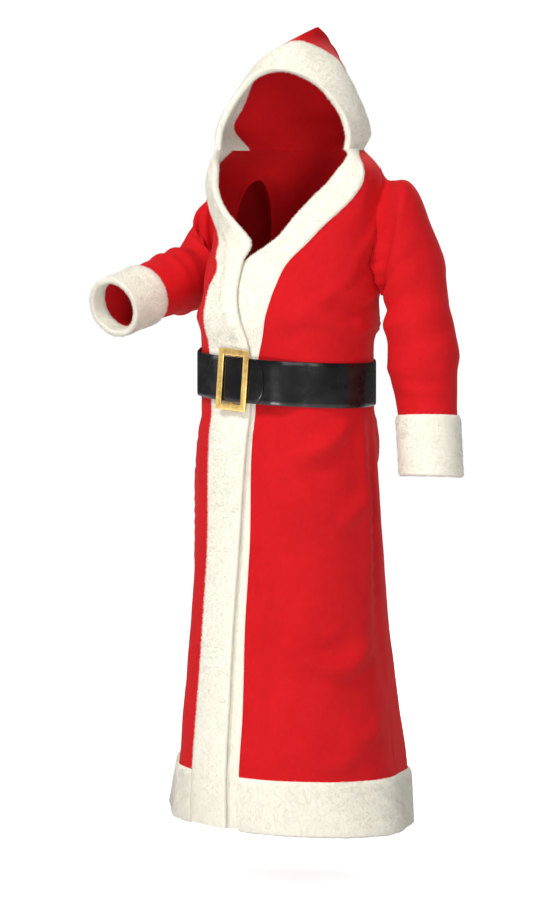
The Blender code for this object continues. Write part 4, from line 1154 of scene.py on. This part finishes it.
def plushStrip(name, points, normals, leaving, shape, closed=False):
    # A plush strip folded over the free edge at column 0, as two layers of points. shape holds
    # the last column outside and inside, and the depths outside and inside, each for all rows.
    last, lastInside = shape["last"], shape["lastInside"]
    depth = np.broadcast_to(np.asarray(shape["depth"], float) * plushSetting["core"], points.shape[:1])
    inside = np.broadcast_to(np.asarray(shape["inside"], float), points.shape[:1])
    near = clothThick / 2 + trimGap
    roll = shape.get("roll", lambda place: 0.0)
    # Each entry: column, offsets of the lower and upper layer, how far each lies past the edge
    profile = []
    for share in (0.0, 0.1, 0.28, 0.55, 0.85):
        full = 0.12 + 0.88 * math.sin(share / 0.85 * math.pi / 2)
        place = last - share * shape["round"]
        profile.append((place, near, near + depth * full + roll(place), 0.0, 0.0))
    for place in np.arange(math.floor(last - shape["round"] - 0.2), 0.2, -1.0):
        profile.append((place, near, near + depth + roll(place), 0.0, 0.0))
    middle = (depth - inside) / 2
    reach = (depth + inside) / 2 + near
    for angle in np.linspace(math.pi / 2, -math.pi / 2, 9):
        past = edgePlay + shape["edge"] * depth * math.cos(angle)
        profile.append((0.0, near * math.sin(angle), middle + reach * math.sin(angle), edgePlay, past))
    for place in np.arange(1.0, lastInside + 0.1):
        thin = 0.35 if place > lastInside - 0.5 else 1.0
        profile.append((place, -near, -near - inside * thin, 0.0, 0.0))
    outer, inner = [], []
    for place, under, over, pastUnder, past in profile:
        here, up = atColumn(points, place), unit(atColumn(normals, place))
        inner.append(here + up * np.asarray(under)[..., None] + leaving * pastUnder)
        outer.append(here + up * np.asarray(over)[..., None] + leaving * np.asarray(past)[..., None])
    outer, inner = np.stack(outer, axis=1), np.stack(inner, axis=1)
    lumps = sum(softNoise(outer, size, seed) * rise for seed, size, rise in plushSetting["lumps"])
    fullness = np.clip(np.linalg.norm(outer - inner, axis=-1) / plushSetting["full"], 0.0, 1.0)
    outer = outer + unit(outer - inner) * (lumps * fullness)[..., None]
    if closed:
        outer[-1], inner[-1] = outer[0], inner[0]
        outer, inner = outer.transpose(1, 0, 2), inner.transpose(1, 0, 2)
    return wall(name, outer, inner, plush, closed), outer, inner


def hairs(outer, inner, setting):
    # Short hairs of the plush: slim three-sided spikes set on its outer layer.
    random = np.random.default_rng(setting["seed"])
    count = setting["count"]
    facing = np.cross(outer[1:, :-1] - outer[:-1, :-1], outer[:-1, 1:] - outer[:-1, :-1])
    area = np.linalg.norm(facing, axis=-1)
    toward = np.sum(facing * (outer - inner)[:-1, :-1], axis=-1)
    normal = unit(facing) * np.sign(toward)[..., None]
    if "keep" in setting:
        area = area * setting["keep"](outer.shape[1])[:-1, :-1]
    picked = random.choice(area.size, count, p=(area / area.sum()).ravel())
    row, place = np.divmod(picked, area.shape[1])
    u, v = random.random((2, count, 1))
    base = (
        outer[row, place] * (1 - u) * (1 - v) + outer[row + 1, place] * u * (1 - v)
        + outer[row, place + 1] * (1 - u) * v + outer[row + 1, place + 1] * u * v
    )
    up = normal[row, place]
    x, y, z = base.T
    lean = np.stack(
        (
            np.sin(y * 310 + z * 190) + np.sin(z * 95 - x * 130),
            np.sin(x * 290 - z * 230) + np.sin(z * 120 + y * 80),
            np.sin(x * 250 + y * 270) - 0.9,
        ),
        axis=1,
    )
    lean = lean * 0.33 + random.normal(0.0, 0.3, base.shape)
    lean = lean - up * np.sum(lean * up, axis=1, keepdims=True)
    length = setting["length"] * random.uniform(0.65, 1.15, (count, 1))
    way = unit(up + lean * hairSetting["lean"])
    first = unit(np.cross(way, np.array(hairSetting["aside"])))
    second = np.cross(way, first)
    build = bmesh.new()
    bmesh.ops.create_cone(build, cap_ends=True, segments=3, radius1=1.0, radius2=0.0, depth=1.0)
    bmesh.ops.remove_doubles(build, verts=build.verts[:], dist=0.001)
    bmesh.ops.recalc_face_normals(build, faces=build.faces[:])
    build.verts.index_update()
    corner = np.array([vertex.co[:] for vertex in build.verts])
    faces = np.array([[vertex.index for vertex in face.verts] for face in build.faces])
    build.free()
    width = hairSetting["width"] * random.uniform(0.8, 1.3, (count, 1))
    spikes = []
    for x, y, z in corner:
        spike = base + (first * x + second * y) * width + way * length * (z + 0.5)
        spikes.append(spike - up * hairSetting["root"])
    points = np.stack(spikes, axis=1).reshape(-1, 3)
    loops = (faces[None] + (np.arange(count) * len(corner))[:, None, None]).reshape(-1)
    mesh = bpy.data.meshes.new(setting["name"])
    mesh.vertices.add(len(points))
    mesh.vertices.foreach_set("co", points.ravel())
    mesh.loops.add(len(loops))
    mesh.loops.foreach_set("vertex_index", loops.astype(np.int32))
    mesh.polygons.add(len(loops) // 3)
    mesh.polygons.foreach_set("loop_start", np.arange(0, len(loops), 3, dtype=np.int32))
    mesh.update(calc_edges=True)
    mesh.validate()
    mesh.shade_smooth()
    return dress(placed(setting["name"], mesh, plushHairs), None)


def plushPiece(name, node, sheet, shape, hairSet, rests, closed=False):
    # A plush strip with its hairs, on a sheet of points, normals and ways off its free edge.
    piece, outer, inner = plushStrip(name, *sheet, shape, closed)
    dress(piece, node)
    company = [hairs(outer, inner, hairSet)]
    cutSheet(piece, (outer + inner) / 2, rests)


# Front bands
frontBandShape = {"last": trimColumnsCount, "lastInside": trimColumnsCount - 1, "round": 1.2, "edge": 0.55}
rollLines = {
    # height and column where the fold of each lapel runs, and how far the inner strip stands up
    -1: {
        "heights": (-0.47, -0.4, -0.31, -0.24, -0.18, -0.12),
        "columns": (0.6, 1.6, 3.4, 4.8, 5.6, 6.0),
        "rise": 0.0042,
    },
    1: {
        "heights": (-0.26, -0.2, -0.15, -0.1, -0.05, 0.0),
        "columns": (1.2, 2.6, 3.4, 4.0, 4.6, 5.2),
        "rise": 0.0034,
    },
}


def lapelRoll(side):
    line = rollLines[side]
    middle = np.interp(bodySteps, line["heights"], line["columns"])
    low, high = line["heights"][0], line["heights"][-1]
    ends = step(bodySteps, low - 0.01, low + 0.09) * (1 - step(bodySteps, high - 0.05, high + 0.01))
    return lambda place: line["rise"] * ends * (1 - step(place, middle - 0.7, middle + 0.7))


def frontKeep(count):
    # Where the front bands carry hairs: not under the belt, nor inside below the chest.
    keep = np.repeat(step(np.abs(bodySteps - beltHeight), 0.05, 0.062)[:, None], count, axis=1)
    insideFrom = count - trimColumnsCount - 2
    keep[:, insideFrom:] = keep[:, insideFrom:] * step(bodySteps, -0.3, -0.22)[:, None]
    return keep


for side, word in sides:
    points, normals = frontPoints[side]
    facing = facingThin + (facingThick - facingThin) * step(bodySteps, -0.24, -0.12)
    shape = dict(frontBandShape, depth=plushDepth(bodySteps), inside=facing, roll=lapelRoll(side))
    hairSet = {"name": "frontHairs" + word, "count": 34000, "length": 0.0042, "seed": 40 + side}
    hairSet["keep"] = frontKeep
    sheet = (points, normals, offEdge(points, normals))
    rests = ["front_" + word.lower()]
    plushPiece("frontBand" + word, "front_band_" + word.lower(), sheet, shape, hairSet, rests)

# Hood band
leftSheet, rightSheet = hoodSheets[1], hoodSheets[-1]
points, normals = (np.concatenate((left, right[::-1])) for left, right in zip(leftSheet, rightSheet))
shape = {"last": hoodTrimColumns, "lastInside": hoodTrimColumns + 5, "round": 1.2, "edge": 0.6}
shape.update(depth=plushThick, inside=plushThick * 0.6)
hairSet = {"name": "hoodHairs", "count": 28000, "length": 0.0042, "seed": 51}
sheet = (points, normals, unit(points[:, 0] - points[:, 1]))
plushPiece("hoodBand", "hood_band", sheet, shape, hairSet, ["hood_left", "hood_right"])

# Cuffs
cuffShape = {"round": 1.6, "edge": 0.6, "depth": plushThick, "inside": plushThick * 0.4}
for side, word in sides:
    start = (leftCuffStart if side > 0 else rightCuffStart) * sleeveSteps["perRing"]
    points, normals = (layer[start:].transpose(1, 0, 2)[:, ::-1] for layer in sleeveSheets[side])
    leaving = unit(points[:, 0] - points[:, 2])
    leaving[-1] = leaving[0]
    shape = dict(cuffShape, last=points.shape[1] - 1, lastInside=sleeveSteps["perRing"])
    hairSet = {"name": "cuffHairs" + word, "count": 16000, "length": 0.0044, "seed": 60 + side}
    sheet = (points, normals, leaving)
    plushPiece("cuff" + word, "cuff_" + word.lower(), sheet, shape, hairSet, ["sleeve_" + word.lower()], True)

# Hem bands
hemShape = {"last": hemRows, "lastInside": 0, "round": 1.2, "edge": 0.6}
hemShape.update(depth=plushThick, inside=plushThick * 0.3)
hemSheets = {
    "Back": (backPoints, backNormals),
    "Right": tuple(layer[:, trimColumnsCount:] for layer in frontPoints[-1]),
    "Left": tuple(layer[:, trimColumnsCount:] for layer in frontPoints[1]),
}
for word, layers in hemSheets.items():
    points, normals = (layer[: hemRows + 2].transpose(1, 0, 2).copy() for layer in layers)
    if word != "Back":
        points[0] = points[0] + unit(points[1] - points[0]) * trimGap
    count = 24000 if word == "Back" else 16000
    hairSet = {"name": "hemHairs" + word, "count": count, "length": 0.0044, "seed": 70 + len(word)}
    sheet = (points, normals, unit(points[:, 0] - points[:, 1]))
    rests = ["back" if word == "Back" else "front_" + word.lower()]
    plushPiece("hemBand" + word, "hem_band_" + word.lower(), sheet, hemShape, hairSet, rests)


print("belt")

beltShape = {
    "round": 0.0011,
    "across": (-0.5, -0.488, -0.465, -0.4, -0.2, 0.0, 0.2, 0.4, 0.465, 0.488, 0.5),
    "sides": 260,
}
tip = np.linspace(0.0, 1.0, 9)[:-1]
tipAngles = beltTipAngle + 7.6 * (1 - tip)
tipWidths = np.sqrt(np.clip(1 - (1 - tip) ** 2.6 * 0.86, 0.02, 1))
restAngles = np.linspace(beltTipAngle, beltEndAngle, beltShape["sides"] + 1)
angles = np.concatenate((tipAngles, restAngles))
widths = np.concatenate((tipWidths, np.ones(len(restAngles))))
over = 1 - step(-angles, 8.0, 24.0)
signed = (angles + 180.0) % 360.0 - 180.0
lift = beltClearance(signed) + over * (beltThickness + 2 * seamWidth)
acrossPlaces = np.array(beltShape["across"])
levels = acrossPlaces[None, :] * beltWidth * widths[:, None]
spread = np.repeat(signed[:, None], len(acrossPlaces), axis=1)
rounding = beltShape["round"] * np.clip((np.abs(acrossPlaces) - 0.44) / 0.06, 0, 1) ** 2
wave = 0.0006 * np.sin(np.radians(angles) * 5.0) * (np.abs(signed) > 34)
lifts = np.repeat((lift + wave)[:, None], len(acrossPlaces), axis=1)
beltInner = beltPoint(spread, levels, lifts + rounding[None, :] * 0.4)
beltOuter = beltPoint(spread, levels, lifts + beltThickness - rounding[None, :])
piece = wall("beltStrap", beltOuter, beltInner, vinyl)
dress(piece, "belt")


print("buckle")

buckleShape = {"bevel": 0.0016, "segments": 3}


def block(build, size, centre):
    made = bmesh.ops.create_cube(build, size=1.0)["verts"]
    bmesh.ops.scale(build, vec=size, verts=made)
    bmesh.ops.translate(build, vec=centre, verts=made)
    return made


def buckle():
    build = bmesh.new()
    bmesh.ops.create_grid(build, x_segments=1, y_segments=1, size=0.5)
    bmesh.ops.scale(build, vec=(buckleWidth, buckleHeight, 1.0), verts=build.verts[:])
    window = build.faces[:]
    bmesh.ops.inset_region(build, faces=window, thickness=buckleBar, use_boundary=True, use_even_offset=True)
    bmesh.ops.delete(build, geom=window, context="FACES")
    raised = bmesh.ops.extrude_face_region(build, geom=build.faces[:])
    risen = [item for item in raised["geom"] if isinstance(item, bmesh.types.BMVert)]
    bmesh.ops.translate(build, vec=(0, 0, buckleThickness), verts=risen)
    bmesh.ops.translate(build, vec=(0, 0, -buckleThickness / 2), verts=build.verts[:])
    bmesh.ops.recalc_face_normals(build, faces=build.faces[:])
    edges = [edge for edge in build.edges if edge.calc_face_angle(0.0) > 1.0]
    bmesh.ops.bevel(
        build, geom=edges, offset=buckleShape["bevel"], segments=buckleShape["segments"],
        profile=0.5, affect="EDGES", clamp_overlap=True, material=-1,
    )
    bmesh.ops.rotate(build, cent=(0, 0, 0), matrix=turnUp, verts=build.verts[:])
    front = float(beltPoint(np.array(0.0), 0.0, beltClearanceFront + 2 * beltThickness + 2 * seamWidth)[1])
    frameY = front + buckleSag - buckleThickness / 2
    barFront = front + beltThickness + barPlay - frameY
    barBack = barFront + beltThickness - 2 * seamWidth
    barSize = (buckleCentreBar, barBack - barFront, buckleHeight - buckleBar)
    block(build, barSize, (0, (barFront + barBack) / 2, 0))
    reach = beltWidth / 2 + 0.0018
    tall = buckleHeight / 2 - buckleBar / 2 - reach
    for side in (-1, 1):
        block(build, (buckleCentreBar, barBack, tall), (0, barBack / 2, side * (reach + tall / 2)))
    centre, halfWidth, halfDepth = (float(value) for value in ringValues(np.array(beltHeight)))
    aside = math.radians(buckleAngle)
    out = frameY - centre + halfDepth
    x = (halfWidth - out) * math.sin(aside)
    y = centre - (halfDepth - out) * math.cos(aside)
    tilt = Matrix.Rotation(aside, 3, "Z") @ Matrix.Rotation(-math.atan(beltSlope), 3, "Y")
    bmesh.ops.rotate(build, cent=(0, 0, 0), matrix=tilt, verts=build.verts[:])
    bmesh.ops.translate(build, vec=(x, y, beltHeight + beltSlope * x), verts=build.verts[:])
    return finished("buckleFrame", build, gold, 35.0)


turnUp = Matrix.Rotation(math.radians(90.0), 3, "X")
dress(buckle(), "buckle")


print("stage")


def stageLight(name, place, size, power, colour):
    lamp = bpy.data.lights.new(name, "AREA")
    lamp.shape = "RECTANGLE"
    lamp.size, lamp.size_y = size
    lamp.energy = power
    lamp.color = colour
    made = bpy.data.objects.new(name, lamp)
    made.location = place
    aim = Vector((0.0, -0.05, -0.6)) - Vector(place)
    made.rotation_euler = aim.to_track_quat("-Z", "Y").to_euler()
    bpy.context.scene.collection.objects.link(made)


def plainLook(name, colour, roughness):
    look = Look(name)
    look.set(Base_Color=colour, Roughness=roughness, Specular_IOR_Level=0.1)
    look.set(Emission_Color=(1.0, 1.0, 1.0), Emission_Strength=stage["floorGlow"])
    return look.material


def studio():
    build = bmesh.new()
    bmesh.ops.create_circle(build, cap_ends=True, segments=96, radius=9.0)
    bmesh.ops.translate(build, vec=(0, 0, stage["floor"]), verts=build.verts[:])
    mesh = bpy.data.meshes.new("floor")
    build.to_mesh(mesh)
    build.free()
    floor = placed("floor", mesh, plainLook("paleFloor", (0.93, 0.93, 0.92), 0.9))
    floor.visible_diffuse = False
    world = bpy.data.worlds.new("studio")
    bpy.context.scene.world = world
    world.use_nodes = True
    tree = world.node_tree
    seen = tree.nodes.new("ShaderNodeLightPath")
    levels = {"Is Camera Ray": stage["backdrop"], "Is Glossy Ray": stage["mirrored"]}
    strength = None
    for ray, level in levels.items():
        mix = tree.nodes.new("ShaderNodeMix")
        tree.links.new(seen.outputs[ray], mix.inputs[0])
        mix.inputs[2].default_value = stage["sky"]
        mix.inputs[3].default_value = level
        if strength is not None:
            tree.links.new(strength, mix.inputs[2])
        strength = mix.outputs[0]
    sky = tree.nodes["Background"]
    sky.inputs["Color"].default_value = (1.0, 1.0, 1.0, 1.0)
    tree.links.new(strength, sky.inputs["Strength"])
    for name, place, size, power, colour in stage["lights"]:
        stageLight(name, place, size, power, colour)


def camera():
    data = bpy.data.cameras.new("camera")
    made = bpy.data.objects.new("camera", data)
    azimuth, elevation = (math.radians(value) for value in stage["view"])
    aside, ahead = math.sin(azimuth) * math.cos(elevation), math.cos(azimuth) * math.cos(elevation)
    back = Vector((aside, -ahead, math.sin(elevation)))
    made.location = Vector(stage["aim"]) + back * stage["distance"]
    made.rotation_euler = back.to_track_quat("Z", "Y").to_euler()
    data.lens = 18.0 * stage["distance"] / (stage["tall"] / 2)
    data.clip_end = 100.0
    bpy.context.scene.collection.objects.link(made)
    bpy.context.scene.camera = made


stage = {
    "floor": -1.57,
    "floorGlow": 0.8,
    "sky": 0.38,
    "backdrop": 1.02,
    "mirrored": 0.05,
    "view": (42.0, 3.0),
    "aim": (-0.074, -0.067, -0.655),
    "distance": 10.0,
    "tall": 2.013,
    "lights": (
        ("key", (0.1, -3.3, 3.1), (1.1, 1.1), 128.0, (1.0, 0.985, 0.96)),
        ("low", (1.7, -2.4, -1.3), (1.2, 0.5), 34.0, (1.0, 0.99, 0.97)),
        ("fill", (3.9, -2.0, 0.9), (1.0, 2.0), 30.0, (0.98, 0.99, 1.0)),
        ("left", (-3.2, -2.4, 0.6), (1.0, 2.0), 26.0, (1.0, 1.0, 1.0)),
        ("rear", (-0.8, 3.4, 1.8), (2.0, 1.4), 70.0, (1.0, 1.0, 1.0)),
    ),
}
studio()
camera()
bpy.context.scene.view_settings.view_transform = "Standard"
